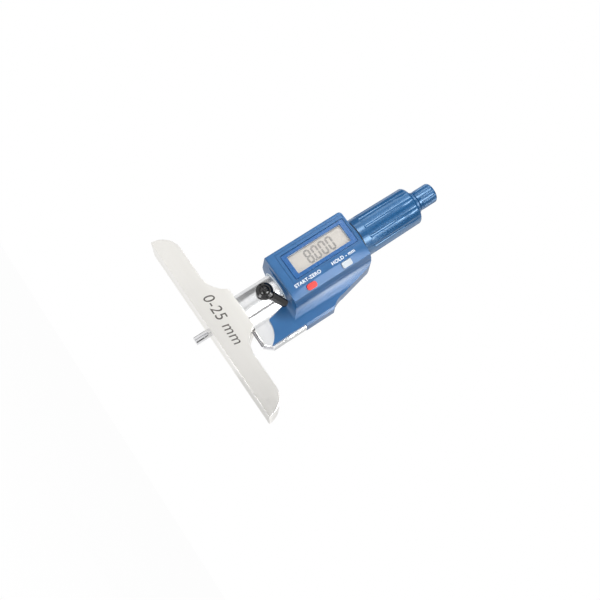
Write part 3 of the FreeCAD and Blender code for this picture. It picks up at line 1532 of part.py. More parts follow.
def main_board():
    blank = block(
        "board_plate", (minus("board_left"), "board_right"),
        (minus("board_front"), minus("board_back")),
        ("housing_floor + board_margin", "housing_roof - board_margin"))
    holes = [
        cylinder(
            "board_hole_%d" % number, "small_screw_radius + running_gap",
            minus("face_depth"), 0, axis="y", at=spot)
        for number, spot in board_spots()
    ]
    keep(cut("board_cut", blank, *holes), "main_board")
    for number, spot in board_spots():
        small_screw(
            "board_screw_%d" % number, spot, minus("board_back - seat_gap"),
            minus("board_back + small_screw_length"))
    keep(block(
        "processor", ("-chip_size / 2", "chip_size / 2"),
        (minus("board_back - seat_gap"), minus("board_back - chip_thickness")),
        ("neck_top + chip_inset", "neck_top + chip_inset + chip_size")), "board_chip")
    ribbon()


def small_screw(node, spot, seat, end):
    """A small screw towards -Y whose round head rests on a board."""
    shank = cylinder(node + "_shank", "small_screw_radius", end, seat, axis="y", at=spot)
    head = cylinder(
        node + "_head", "small_head_radius", seat, seat + " + small_head_height", axis="y",
        at=spot)
    screw = fuse(node + "_solid", shank, head)
    return keep(screw, node)


def ribbon():
    """The flat cable from the back of the main board to the edge of the stator."""
    back = minus("board_back - seat_gap - ribbon_thickness")
    upright = block(
        "ribbon_leg", ("-ribbon_width / 2", "ribbon_width / 2"),
        (minus("board_back - seat_gap"), back),
        ("stator_top + seat_gap", "stator_top + ribbon_length"))
    foot = block(
        "ribbon_foot", ("-ribbon_width / 2", "ribbon_width / 2"),
        (minus("board_back - seat_gap"), minus("disc_radius + free_gap")),
        ("stator_top + seat_gap", "stator_top + seat_gap + ribbon_thickness"))
    keep(fuse("ribbon_solid", upright, foot), "flex_ribbon")


def key_board():
    middle = "(red_z + white_z) / 2"
    plate_blank = slab("key_plate", "XZ_Plane", rectangle(
        "-key_board_width / 2", "key_board_width / 2", "-key_board_length / 2",
        "key_board_length / 2"), "key_board_front", "key_board_back")
    strip_place(plate_blank, middle)
    holes = [
        strip_place(
            carrier("key_hole_%d" % number, cylinder(
                "key_hole_rod_%d" % number, "small_screw_radius + running_gap", "wall",
                "key_board_back + overrun", axis="y")), rise)
        for number, rise in key_spots()
    ]
    keep(cut("key_board_cut", plate_blank, *holes), "key_board")
    for number, rise in key_spots():
        shank = cylinder(
            "key_shank_%d" % number, "small_screw_radius",
            "key_board_back - key_screw_length", "key_board_back + seat_gap", axis="y")
        head = cylinder(
            "key_head_%d" % number, "small_head_radius", "key_board_back + seat_gap",
            "key_board_back + seat_gap + small_head_height", axis="y")
        screw = fuse("key_screw_solid_%d" % number, shank, head)
        keep(strip_place(screw, rise), "key_board_screw_%d" % number)


def buttons():
    for number, (node, rounding, rise) in enumerate(BUTTONS, start=1):
        cap = slab(node + "_cap", "XZ_Plane", rounded_rectangle(
            "button_width", "button_length", rounding), "-button_proud", "wall + button_gap")
        rim = slab(node + "_rim", "XZ_Plane", rounded_rectangle(
            "button_width - button_rim_inset * 2", "button_length + button_rim * 2",
            rounding), "wall + button_gap", "rim_back")
        keep(strip_place(fuse(node + "_solid", cap, rim), rise), node)
        stem = cylinder(
            "switch_stem_%d" % number, "switch_stem_radius", "stem_front", "switch_front",
            axis="y")
        case = block(
            "switch_case_%d" % number, ("-switch_size / 2", "switch_size / 2"),
            ("switch_front", "key_board_front - seat_gap"),
            ("-switch_size / 2", "switch_size / 2"))
        keep(strip_place(fuse("switch_solid_%d" % number, stem, case), rise),
             "tact_switch_%d" % number)


# Battery

def battery():
    spot = (0, "cell_z")
    keep(cylinder("cell", "cell_radius", "cell_floor", "cell_back", axis="y", at=spot),
         "coin_cell")
    keep(block(
        "leaf", (minus("contact_length / 2"), "contact_length / 2"),
        ("cup_low + cup_floor + seat_gap", "cell_floor - seat_gap"),
        ("cell_z - contact_width / 2", "cell_z + contact_width / 2")), "negative_contact")
    side_x = "cell_radius + running_gap"
    keep(block(
        "side_leaf", (minus("%s + contact_thickness" % side_x), minus(side_x)),
        ("cup_low + cup_floor + seat_gap", "cell_back - contact_inset"),
        ("cell_z - contact_width / 2", "cell_z + contact_width / 2")), "positive_contact")
    plug = cylinder(
        "cap_plug", "cap_plug_radius", "cap_floor", "cap_seat", axis="y", at=spot)
    disc = cylinder("cap_disc", "cap_radius", "cap_seat", "cap_top", axis="y", at=spot)
    slot = block(
        "coin_slot", (minus("coin_slot_length / 2"), "coin_slot_length / 2"),
        ("cap_top - coin_slot_depth", "cap_top + overrun"),
        ("cell_z - coin_slot_width / 2", "cell_z + coin_slot_width / 2"))
    keep(cut("cap_cut", fuse("cap_blank", plug, disc), slot), "battery_cap")
    seal = doc.addObject("Part::Torus", "seal_ring")
    bind(seal, "Radius1", "seal_circle")
    bind(seal, "Radius2", "seal_radius")
    seal.Placement.Rotation = AXIS_TURN["y"]
    place(seal, y="cap_seat - seal_radius - seat_gap / 2", z="cell_z")
    keep(seal, "cap_seal")


def write():
    """Check every object and sub-part, then write one file for each sub-part."""
    doc.recompute()
    bad = [item.Name for item in doc.Objects if {"Invalid", "Error"} & set(item.State)]
    bad += [item.Label for item in parts if item.Shape.isNull() or not item.Shape.isValid()]
    if bad:
        raise RuntimeError("these objects failed: " + ", ".join(bad))
    os.makedirs("parts", exist_ok=True)
    for item in parts:
        item.Shape.exportStep("parts/%s.step" % item.Label)
        print(item.Label, len(item.Shape.Solids), round(item.Shape.Volume, 2))


base()
frame_body()
spindle()
measuring_rod()
nut()
inner_sleeve()
thimble()
ratchet()
encoder()
lock()
front_cover()
rear_cover()
cover_screws()
display()
main_board()
key_board()
buttons()
battery()
write()
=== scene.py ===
import json
import math

import bpy
from mathutils import Matrix, Vector

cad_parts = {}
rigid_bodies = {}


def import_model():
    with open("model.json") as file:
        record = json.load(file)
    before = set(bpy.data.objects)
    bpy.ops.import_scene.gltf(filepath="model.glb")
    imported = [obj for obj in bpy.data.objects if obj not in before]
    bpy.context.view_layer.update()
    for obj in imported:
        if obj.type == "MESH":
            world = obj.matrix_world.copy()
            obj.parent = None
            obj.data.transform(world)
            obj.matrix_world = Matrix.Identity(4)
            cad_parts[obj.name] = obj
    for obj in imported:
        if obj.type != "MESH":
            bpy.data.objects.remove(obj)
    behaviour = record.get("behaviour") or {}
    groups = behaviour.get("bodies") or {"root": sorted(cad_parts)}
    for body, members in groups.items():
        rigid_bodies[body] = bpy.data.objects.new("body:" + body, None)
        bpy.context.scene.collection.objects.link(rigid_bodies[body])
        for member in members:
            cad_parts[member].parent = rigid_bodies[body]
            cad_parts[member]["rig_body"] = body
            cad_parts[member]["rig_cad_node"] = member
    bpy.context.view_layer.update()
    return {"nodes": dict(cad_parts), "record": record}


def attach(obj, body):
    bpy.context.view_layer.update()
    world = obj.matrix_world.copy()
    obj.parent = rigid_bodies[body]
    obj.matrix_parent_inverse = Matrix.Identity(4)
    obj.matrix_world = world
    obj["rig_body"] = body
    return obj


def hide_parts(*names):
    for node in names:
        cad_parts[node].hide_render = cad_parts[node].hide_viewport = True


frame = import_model()

MM = 0.001

# Sizes that the part gives, in millimetres
FACE_Y = -15.0
PANEL_Y = -13.38
BEAM_Y = -8.3
HOUSING_TOP = 82.7
THIMBLE_RADIUS = 10.25
LOCK_Z = 31.3
BOSS_Y = -10.96
ARM_Y = -10.86
ARM_ANGLE = 23.6
ARM_HALF_WIDTH = 2.05
SCREW_Y = -11.46

# Softened edges, in millimetres: node, edge width, rounds of the edge
SOFT_EDGES = (
    ("base", 0.22, 3),
    ("frame_body", 0.22, 3),
    ("front_cover", 0.22, 3),
    ("rear_cover", 0.22, 3),
    ("bezel", 0.12, 2),
    ("red_button", 0.22, 3),
    ("white_button", 0.16, 3),
    ("thimble_grip", 0.12, 2),
    ("inner_sleeve", 0.1, 2),
    ("ratchet_collar", 0.15, 2),
    ("ratchet_knob", 0.12, 2),
    ("knob_cap", 0.2, 2),
    ("lock_lever", 0.16, 3),
    ("lock_screw", 0.1, 3),
    ("battery_cap", 0.2, 3),
    ("cover_screw_1", 0.08, 2),
    ("cover_screw_2", 0.08, 2),
    ("cover_screw_3", 0.08, 2),
    ("cover_screw_4", 0.08, 2),
)
SHARP_ANGLE = 32.0
SMOOTH_ANGLE = 34.0
FLAT_ANGLE = 0.2
MERGE_DISTANCE = 0.001 * MM

# Lettering on the face of the housing: name, words, middle line, low end, size, spacing
LEGENDS = (
    ("start_legend", "START-ZERO", 7.7, 43.1, 2.4, 1.06),
    ("hold_legend", "HOLD - mm", 7.9, 63.8, 2.4, 1.06),
)
LEGEND_WEIGHT = 0.06
# Share of a legend's size that lies between its middle line and its foot
LEGEND_FOOT_SHARE = 0.35
INK_HEIGHT = 0.02

# Range mark on the beam: words, left end, foot, size, slant and spacing
RANGE_MARK = "0-25 mm"
RANGE_MARK_X = -14.2
RANGE_MARK_Z = 5.4
RANGE_MARK_SIZE = 7.4
RANGE_MARK_SLANT = 0.25
RANGE_MARK_SPACING = 1.06

# Reading on the display, with the segments of each figure in it
READING = "8.000"
DIGIT_SEGMENTS = {"0": "abcdef", "8": "abcdefg"}
DIGIT_HEIGHT = 6.5
DIGIT_WIDTH = 2.4
DIGIT_PITCH = 4.1
DIGIT_STROKE = 1.0
DIGIT_GAP = 0.1
DIGIT_SLANT = 0.16
# Share of a segment's half breadth that its pointed ends take
TIP_SHARE = 0.98
READING_Z = 56.4
READING_X = 1.6
POINT_SIZE = 0.8
INK_ON_GLASS = 0.015

# Studio cards: name, direction, half width, both in degrees, low and high, brightness
CARD_DISTANCE = 170.0
STUDIO_CARDS = (
    ("face_under_shade", 175.0, 10.0, -60.0, -15.0, 0.6),
    ("rod_shade_rear", -145.0, 30.0, 4.0, 22.0, 0.12),
    ("rod_shade_front", -17.0, 6.0, 4.0, 22.0, 0.1),
    ("rod_shade_right", 62.0, 22.0, 4.0, 24.0, 0.15),
    ("beam_shade", 11.0, 12.0, 16.0, 37.0, 0.25),
    ("beam_low_shade", 15.0, 24.0, -60.0, 3.0, 0.05),
    ("screw_light", 63.0, 8.0, 26.0, 36.0, 20.0),
    ("plate_shade", 165.0, 14.0, 26.0, 80.0, 0.62),
    ("neck_shade", -69.0, 25.0, 38.0, 78.0, 0.18),
    ("neck_edge", -140.0, 34.0, 44.0, 78.0, 0.86),
    ("neck_front", -16.0, 10.0, 38.0, 78.0, 1.0),
    ("neck_line", 4.0, 4.0, 38.0, 78.0, 0.72),
    ("neck_light", 38.0, 20.0, 38.0, 76.0, 1.1),
    ("neck_crease", 79.0, 10.0, 38.0, 82.0, 0.28),
    ("neck_crease_left", 68.5, 11.0, 38.0, 82.0, 0.6),
    ("neck_crease_right", 89.5, 11.0, 38.0, 82.0, 0.5),
    ("face_light", -26.0, 8.0, 86.0, 134.0, 3.8),
    ("strip_light", 38.0, 12.0, 74.0, 120.0, 11.5),
    ("flank_light", 92.0, 14.0, 83.0, 122.0, 17.0),
    ("flank_light_left", 67.0, 12.0, 83.0, 122.0, 16.0),
    ("flank_shade", 122.0, 12.0, 80.0, 120.0, 0.05),
    ("grip_shade_left", -85.0, 22.0, 131.0, 205.0, 0.05),
    ("grip_light_left", -56.0, 5.0, 131.0, 205.0, 2.2),
    ("grip_light_front", -20.0, 9.0, 131.0, 205.0, 6.6),
    ("grip_shade_front", 13.0, 10.0, 131.0, 205.0, 0.05),
    ("grip_light_right", 47.0, 11.0, 133.0, 205.0, 8.6),
    ("grip_shade_right", 82.0, 18.0, 131.0, 205.0, 0.05),
    ("grip_edge_right", 124.0, 22.0, 131.0, 205.0, 1.3),
)
# Level cards under and over the object: name, place, size, brightness
FLAT_CARDS = (
    ("low_light", (8.0, -92.0, -60.0), (44.0, 50.0), 7.0),
    ("corner_shade", (103.0, -42.0, -60.0), (50.0, 50.0), 0.5),
    ("roof_shade", (60.0, -40.0, 330.0), (420.0, 420.0), 0.05),
)
# Soft lamps: name, place, size and power
LAMPS = (
    ("key", (-260.0, -620.0, 420.0), (300.0, 300.0), 3.2),
    ("fill", (520.0, -420.0, 190.0), (240.0, 420.0), 0.8),
)
LAMP_TARGET = (8.0, -5.0, 50.0)
ROOM_LIGHT = 0.55
WHITE = (1.0, 1.0, 1.0, 1.0)
BLACK = (0.0, 0.0, 0.0, 1.0)

# Floor: its height, its width, its paper, and the share of it that fades into the room
FLOOR_Z = -110.0
FLOOR_WIDTH = 6000.0
FLOOR_TONE = (250, 250, 250)
FLOOR_ROUGH = (0.85, 0.95)
FLOOR_GRAIN = 20.0
FLOOR_FADE = 0.96

# Camera of the photograph: angles in degrees, what it looks at, lens in pixels
CAMERA_TURN = 14.63
CAMERA_DROP = 11.87
CAMERA_ROLL = 57.39
CAMERA_TARGET = (10.4, 0.0, 44.7)
CAMERA_DISTANCE = 470.0
LENS_PIXELS = 982.0
PICTURE_WIDTH = 600.0
SENSOR_WIDTH = 36.0
CLIP_START = 10.0

# Sides of the round shapes, and how far a cutter passes what it cuts
RING_SIDES = 96
BALL_SIDES = 96
CORNER_SIDES = 64
FILL_SIDES = 128
LINE_SIDES = 12
RING_CORNER_ROUNDS = 5
CUT_OVERRUN = 2.0

# Fine lines on the face round the bezel: left, right, low, top, breadth, depth
FACE_LINES = (
    (-8.75, 5.45, 45.35, 81.45, 0.6, 0.5),
    (-10.4, 6.4, 43.6, 82.05, 0.24, 0.2),
)
LINE_PROUD = 0.2
# Pale edge of the display in its opening, the glass edge with a painted glint for its pale
# tone: left, right, low, top, breadth, depth
DISPLAY_GLINT_EDGE = (-6.85, 3.15, 48.25, 78.55, 0.28, 0.1)
DISPLAY_GLINT_EDGE_Y = -14.1
RING_CORNER = 0.3

# Rounded top left corner of the housing: cover, left wall at the middle, its slope
CORNER_WALLS = {"front_cover": (-13.79, 5.67), "rear_cover": (-14.05, 0.0)}
CORNER_ROUND = 2.3
CORNER_DEPTH = 34.0
CORNER_WASTE = 0.5

# Lip of the housing round the foot of the thimble, and a dark band above it that paints the
# shade in the gap
LIP_RADIUS = 10.75
LIP_HALF = 0.3
LIP_TOP = 84.55
GAP_SHADE_Z = 85.0
GAP_SHADE_HALF = 0.28
GAP_SHADE_SUNK = 0.12

# Wide round corner between the neck and the plate: radius, middle, where it meets
# the neck, inner side, low and top end
CORNER_FILL = 8.0
FILL_MIDDLE = (12.16, 11.0)
FILL_LEFT = (6.23, 5.63)
FILL_INNER = 2.5
FILL_LOW = 18.22
FILL_TOP = 39.6
# Fine grey line along that corner, a painted dark reflection in the crease: place across, place
# to the front, radius
CREASE_PAINTED_REFLECTION_LINE = (5.54, 5.35, 0.9)

# Rim where the neck enters the housing; its pale tone is a painted highlight
RIM_RADIUS = 8.98
RIM_HALF = 0.36
RIM_Z = 38.5

# Strips on the lower chamfers of the plate, their tones painted shade on the low edge and a
# painted grey reflection on the corner: name, the two ends on the outer edge, tone
PAINTED_PLATE_EDGES = (
    ("plate_low_edge", (9.6, 16.9), (20.5, 16.9), 98),
    ("plate_corner_edge", (20.7, 17.0), (23.9, 20.5), 178),
)
PLATE_HALF = 3.0
EDGE_CHAMFER = 0.8
EDGE_PROUD = 0.02
EDGE_MARGIN = 0.1
EDGE_DARKER = (-10, -12, -8)
EDGE_LIGHTER = (10, 8, 14)
EDGE_ROUGHNESS = 0.4

# Round groove where the neck stands on the beam
NECK_RADIUS = 8.4
NECK_FOOT_Z = 18.3
FOOT_GROOVE = 0.3
FOOT_GROOVE_OUT = 0.05

# Slope round the boss of the lock lever, and along both edges of its arm
SLOPE_RADIUS = 4.3
SLOPE_REACH = 1.35
SLOPE_DROP = 0.92
ARM_SLOPE = 38.0
ARM_SLOPE_WIDTH = 0.95
ARM_CUTTER = (9.0, 3.0, 3.0)
ARM_CUTTER_X = 9.1
RIM_SIDES = 4
SCREW_DOME = 3.6

# Metals: slot, material, dark and light tone, low and high roughness, stretch, depth
ALONG_X = (0.04, 1, 1)
ROUND_Z = (0.15, 0.15, 3)
EVEN = (1, 1, 1)
METALS = (
    ("beam_steel", "ground_beam_steel",
     (238, 236, 231), (246, 244, 240), 0.3, 0.36, ALONG_X, 0.002),
    ("frame_steel", "turned_neck_steel",
     (230, 231, 233), (240, 240, 240), 0.21, 0.27, ROUND_Z, 0.001),
    ("spindle_steel", "ground_spindle_steel",
     (200, 200, 202), (222, 222, 224), 0.15, 0.25, ROUND_Z, 0.001),
    ("rod_steel", "lapped_rod_steel",
     (214, 214, 216), (230, 230, 232), 0.06, 0.1, ROUND_Z, 0.001),
    ("sleeve_steel", "turned_sleeve_steel",
     (190, 192, 196), (212, 213, 216), 0.2, 0.3, ROUND_Z, 0.001),
    ("spring_steel", "spring_wire_steel",
     (150, 150, 152), (180, 180, 182), 0.25, 0.35, EVEN, 0.001),
    ("screw_steel", "bright_screw_steel",
     (186, 187, 190), (210, 211, 214), 0.2, 0.3, EVEN, 0.001),
    ("cell_steel", "cell_can_steel",
     (198, 200, 202), (220, 222, 224), 0.2, 0.3, EVEN, 0.001),
    ("bronze", "bearing_bronze",
     (176, 138, 82), (200, 162, 104), 0.25, 0.35, ROUND_Z, 0.001),
    ("contact_gold", "contact_gold_plate",
     (214, 178, 96), (232, 198, 120), 0.2, 0.28, EVEN, 0.001),
)
METAL_COLOUR_GRAIN = 90.0
METAL_ROUGH_GRAIN = 900.0
METAL_BUMP_GRAIN = 2600.0
METAL_BUMP = 0.2

# Plastics and coats: slot, material, dark and light tone, low and high roughness,
# depth, refraction, tint of the gloss
PLAIN_GLOSS = (1.0, 1.0, 1.0)
PLASTICS = (
    ("housing_blue", "housing_blue_plastic",
     (37, 94, 146), (41, 99, 152), 0.3, 0.36, 0.008, 1.5, PLAIN_GLOSS),
    ("bezel_blue", "bezel_blue_plastic",
     (24, 88, 150), (29, 94, 157), 0.24, 0.3, 0.006, 1.5, PLAIN_GLOSS),
    ("grip_blue", "grip_blue_anodised",
     (31, 85, 134), (36, 91, 141), 0.17, 0.21, 0.0004, 1.95, (0.55, 0.78, 1.0)),
    ("collar_blue", "collar_blue_anodised",
     (34, 88, 136), (40, 94, 143), 0.28, 0.34, 0.0006, 1.8, (0.6, 0.8, 1.0)),
    ("cap_blue", "cap_blue_plastic",
     (54, 102, 154), (62, 110, 162), 0.36, 0.44, 0.012, 1.5, PLAIN_GLOSS),
    ("lever_black", "lever_black_enamel",
     (6, 6, 8), (11, 10, 12), 0.1, 0.15, 0.002, 1.56, PLAIN_GLOSS),
    ("screw_black", "screw_black_oxide",
     (10, 10, 11), (18, 17, 19), 0.1, 0.16, 0.002, 1.66, PLAIN_GLOSS),
    ("button_red", "button_red_plastic",
     (226, 46, 44), (236, 54, 50), 0.3, 0.36, 0.006, 1.5, (1.0, 0.6, 0.55)),
    ("button_white", "button_white_plastic",
     (176, 184, 190), (184, 192, 198), 0.3, 0.36, 0.006, 1.5, PLAIN_GLOSS),
    ("display_panel", "display_grey_film",
     (199, 190, 180), (206, 199, 188), 0.4, 0.5, 0.002, 1.5, PLAIN_GLOSS),
    ("board_green", "board_green_laminate",
     (26, 84, 48), (34, 98, 58), 0.35, 0.45, 0.012, 1.5, PLAIN_GLOSS),
    ("chip_black", "chip_black_epoxy",
     (26, 26, 28), (38, 38, 40), 0.45, 0.55, 0.012, 1.5, PLAIN_GLOSS),
    ("ribbon_amber", "ribbon_amber_film",
     (168, 104, 34), (190, 124, 48), 0.25, 0.32, 0.002, 1.5, PLAIN_GLOSS),
    ("washer_white", "washer_white_plastic",
     (222, 222, 218), (234, 234, 230), 0.3, 0.4, 0.004, 1.5, PLAIN_GLOSS),
    ("seal_rubber", "seal_black_rubber",
     (24, 24, 25), (36, 36, 37), 0.6, 0.7, 0.01, 1.5, PLAIN_GLOSS),
)
PLASTIC_COLOUR_GRAIN = 160.0
PLASTIC_ROUGH_GRAIN = 700.0
PLASTIC_BUMP_GRAIN = 5200.0
PLASTIC_BUMP = 0.3

# Clear window: tone, low and high roughness, grain, opacity
WINDOW_TONE = (236, 240, 244)
WINDOW_ROUGHNESS = (0.03, 0.07)
WINDOW_GRAIN = 500.0
WINDOW_ALPHA = 0.1

# Inks, and thin trims whose tones are painted light: dark and light tone, roughness
INKS_AND_PAINTED_LIGHT = {
    # Pale tone of the display edge: a painted glint
    "display_edge_plastic": ((206, 220, 234), (216, 228, 240), 0.3),
    # Grey of the crease line: a painted dark reflection
    "crease_grey_steel": ((146, 145, 144), (160, 159, 158), 0.4),
    # Pale tone of the neck rim: a painted highlight
    "neck_rim_plastic": ((226, 240, 252), (232, 244, 254), 0.3),
    "legend_white_ink": ((236, 240, 245), (246, 248, 250), 0.4),
    "mark_dark_ink": ((72, 68, 64), (86, 82, 78), 0.5),
    "reading_grey_film": ((126, 119, 111), (136, 129, 121), 0.5),
}
INK_COLOUR_GRAIN = 900.0
INK_ROUGH_GRAIN = 1200.0
INK_ROUGH_SPREAD = 0.06

# Part of a noise's range that the tones and the roughness are spread over
NOISE_LOW = 0.3
NOISE_HIGH = 0.7
TONE_DETAIL = 3.0
BUMP_DETAIL = 2.0


# Picking and shaping


def take(*pieces):
    bpy.ops.object.select_all(action="DESELECT")
    for piece in pieces:
        piece.select_set(True)
    bpy.context.view_layer.objects.active = pieces[-1]


def apply_modifiers(piece):
    take(piece)
    for name in [modifier.name for modifier in piece.modifiers]:
        bpy.ops.object.modifier_apply(modifier=name)


def named(piece, name):
    piece.name = name
    piece.data.name = name
    return piece


def merged_copy(node):
    source = frame["nodes"][node]
    take(source)
    bpy.ops.object.duplicate()
    piece = bpy.context.active_object
    del piece["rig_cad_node"]
    take(piece)
    bpy.ops.mesh.customdata_custom_splitnormals_clear()
    bpy.ops.object.mode_set(mode="EDIT")
    bpy.ops.mesh.select_all(action="SELECT")
    bpy.ops.mesh.remove_doubles(threshold=MERGE_DISTANCE)
    bpy.ops.mesh.dissolve_limited(angle_limit=math.radians(FLAT_ANGLE))
    bpy.ops.object.mode_set(mode="OBJECT")
    return named(piece, node + "_shape")


def soften(piece, width, rounds):
    take(piece)
    bpy.ops.object.shade_smooth_by_angle(angle=math.radians(SMOOTH_ANGLE))
    bevel = piece.modifiers.new("soft_edge", "BEVEL")
    bevel.width = width * MM
    bevel.segments = rounds
    bevel.limit_method = "ANGLE"
    bevel.angle_limit = math.radians(SHARP_ANGLE)
    bevel.harden_normals = True
    apply_modifiers(piece)


def cut_away(piece, cutter, way="DIFFERENCE"):
    groove = piece.modifiers.new("groove", "BOOLEAN")
    groove.operation = way
    groove.solver = "EXACT"
    groove.object = cutter
    apply_modifiers(piece)
    bpy.data.objects.remove(cutter)


def face_ring(left, right, low, top, breadth, depth, front):
    """A thin rectangular ring on a front face, with its front at that depth."""
    width = right - left
    height = top - low
    bpy.ops.object.select_all(action="DESELECT")
    bpy.ops.mesh.primitive_plane_add(size=MM)
    ring = bpy.context.active_object
    bpy.ops.object.mode_set(mode="EDIT")
    bpy.ops.mesh.select_all(action="SELECT")
    bpy.ops.transform.resize(value=(width, height, 1.0))
    centre = ((left + right) / 2 * MM, (low + top) / 2 * MM, -depth * MM)
    bpy.ops.transform.translate(value=centre)
    corner = (breadth + RING_CORNER) * MM
    bpy.ops.mesh.bevel(offset=corner, segments=RING_CORNER_ROUNDS, affect="VERTICES")
    bpy.ops.mesh.inset(thickness=breadth * MM)
    bpy.ops.mesh.delete(type="FACE")
    bpy.ops.mesh.select_all(action="SELECT")
    rise = (0.0, 0.0, depth * MM)
    bpy.ops.mesh.extrude_region_move(TRANSFORM_OT_translate={"value": rise})
    bpy.ops.mesh.select_all(action="SELECT")
    bpy.ops.mesh.normals_make_consistent(inside=False)
    bpy.ops.object.mode_set(mode="OBJECT")
    return settle(ring, on_beam(0.0, front, 0.0))


def ring_round(radius, thickness, placing, sides=16):
    bpy.ops.object.select_all(action="DESELECT")
    bpy.ops.mesh.primitive_torus_add(
        major_radius=radius * MM, minor_radius=thickness * MM,
        major_segments=RING_SIDES, minor_segments=sides)
    ring = bpy.context.active_object
    return settle(ring, placing)


def block(size, placing):
    bpy.ops.object.select_all(action="DESELECT")
    bpy.ops.mesh.primitive_cube_add(size=MM)
    piece = bpy.context.active_object
    return settle(piece, placing @ Matrix.Diagonal((*size, 1.0)))


def moved(x, y, z):
    return Matrix.Translation(Vector((x, y, z)) * MM)


def turned(angle, axis):
    return Matrix.Rotation(math.radians(angle), 4, axis)


def body_of_node(node):
    return frame["nodes"][node]["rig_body"]


def stand_for(piece, *nodes):
    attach(piece, body_of_node(nodes[0]))
    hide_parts(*nodes)
    return piece


def settle(piece, placing):
    piece.matrix_world = placing
    take(piece)
    bpy.ops.object.transform_apply(location=True, rotation=True, scale=True)
    return piece


def on_face(x, y, z):
    """Text on a front face reads up the rod's line, with its top toward the left."""
    turn = Matrix(((0, -1, 0), (0, 0, -1), (1, 0, 0))).to_4x4()
    return moved(x, y, z) @ turn


def on_beam(x, y, z):
    """Text on the beam reads along the base, with its top toward the housing."""
    turn = Matrix(((1, 0, 0), (0, 0, -1), (0, 1, 0))).to_4x4()
    return moved(x, y, z) @ turn


# Finishes


def linear(level):
    """A screen level of 0 to 255 as the linear value that a shader takes."""
    level = level / 255.0
    if level <= 0.04045:
        return level / 12.92
    return ((level + 0.055) / 1.055) ** 2.4


def tone(red, green, blue):
    return (linear(red), linear(green), linear(blue), 1.0)


def plain_finish(name, colour, metallic, roughness):
    material = bpy.data.materials.new(name)
    material.use_nodes = True
    shader = material.node_tree.nodes["Principled BSDF"]
    shader.inputs["Base Color"].default_value = colour
    shader.inputs["Metallic"].default_value = metallic
    shader.inputs["Roughness"].default_value = roughness
    return material, shader


def speckle(material, scale, stretch, detail=TONE_DETAIL):
    nodes = material.node_tree.nodes
    links = material.node_tree.links
    place = nodes.new("ShaderNodeTexCoord")
    mapping = nodes.new("ShaderNodeMapping")
    mapping.inputs["Scale"].default_value = stretch
    noise = nodes.new("ShaderNodeTexNoise")
    noise.inputs["Scale"].default_value = scale
    noise.inputs["Detail"].default_value = detail
    links.new(place.outputs["Object"], mapping.inputs["Vector"])
    links.new(mapping.outputs["Vector"], noise.inputs["Vector"])
    return noise


def vary_colour(material, shader, dark, light, scale, stretch=(1, 1, 1)):
    noise = speckle(material, scale, stretch)
    ramp = material.node_tree.nodes.new("ShaderNodeValToRGB")
    ramp.color_ramp.elements[0].position = NOISE_LOW
    ramp.color_ramp.elements[0].color = dark
    ramp.color_ramp.elements[1].position = NOISE_HIGH
    ramp.color_ramp.elements[1].color = light
    links = material.node_tree.links
    links.new(noise.outputs["Fac"], ramp.inputs["Fac"])
    links.new(ramp.outputs["Color"], shader.inputs["Base Color"])


def vary_roughness(material, shader, low, high, scale, stretch=(1, 1, 1)):
    noise = speckle(material, scale, stretch)
    spread = material.node_tree.nodes.new("ShaderNodeMapRange")
    spread.inputs["From Min"].default_value = NOISE_LOW
    spread.inputs["From Max"].default_value = NOISE_HIGH
    spread.inputs["To Min"].default_value = low
    spread.inputs["To Max"].default_value = high
    links = material.node_tree.links
    links.new(noise.outputs["Fac"], spread.inputs["Value"])
    links.new(spread.outputs["Result"], shader.inputs["Roughness"])


def grain(material, shader, scale, strength, distance, stretch=(1, 1, 1)):
    noise = speckle(material, scale, stretch, BUMP_DETAIL)
    bump = material.node_tree.nodes.new("ShaderNodeBump")
    bump.inputs["Strength"].default_value = strength
    bump.inputs["Distance"].default_value = distance * MM
    links = material.node_tree.links
    links.new(noise.outputs["Fac"], bump.inputs["Height"])
    links.new(bump.outputs["Normal"], shader.inputs["Normal"])


def metal(name, dark, light, rough_low, rough_high, stretch, depth):
    dark = tone(*dark)
    light = tone(*light)
    middle = tuple((low + high) / 2 for low, high in zip(dark, light))
    material, shader = plain_finish(name, middle, 1.0, rough_high)
    vary_colour(material, shader, dark, light, METAL_COLOUR_GRAIN, stretch)
    vary_roughness(material, shader, rough_low, rough_high, METAL_ROUGH_GRAIN, stretch)
    grain(material, shader, METAL_BUMP_GRAIN, METAL_BUMP, depth, stretch)
    return material


def plastic(name, dark, light, rough_low, rough_high, depth, refraction, tint):
    dark = tone(*dark)
    light = tone(*light)
    material, shader = plain_finish(name, light, 0.0, rough_high)
    shader.inputs["IOR"].default_value = refraction
    shader.inputs["Specular Tint"].default_value = (*tint, 1.0)
    vary_colour(material, shader, dark, light, PLASTIC_COLOUR_GRAIN)
    vary_roughness(material, shader, rough_low, rough_high, PLASTIC_ROUGH_GRAIN)
    grain(material, shader, PLASTIC_BUMP_GRAIN, PLASTIC_BUMP, depth)
    return material


def clear_window():
    low, high = WINDOW_ROUGHNESS
    material, shader = plain_finish("clear_window_plastic", tone(*WINDOW_TONE), 0.0,
                                    (low + high) / 2)
    vary_roughness(material, shader, low, high, WINDOW_GRAIN)
    shader.inputs["Alpha"].default_value = WINDOW_ALPHA
    return material


def make_finishes():
    finishes = {}
    for slot, *values in METALS:
        finishes[slot] = metal(*values)
    for slot, *values in PLASTICS:
        finishes[slot] = plastic(*values)
    finishes["clear_window"] = clear_window()
    return finishes


# Finish for print inks and for trims whose tones are painted shade, reflection and highlight
def trim_and_painted_light(name, dark, light, roughness):
    dark = tone(*dark)
    light = tone(*light)
    material, shader = plain_finish(name, light, 0.0, roughness)
    low = roughness - INK_ROUGH_SPREAD
    high = roughness + INK_ROUGH_SPREAD
    vary_colour(material, shader, dark, light, INK_COLOUR_GRAIN)
    vary_roughness(material, shader, low, high, INK_ROUGH_GRAIN)
    return material


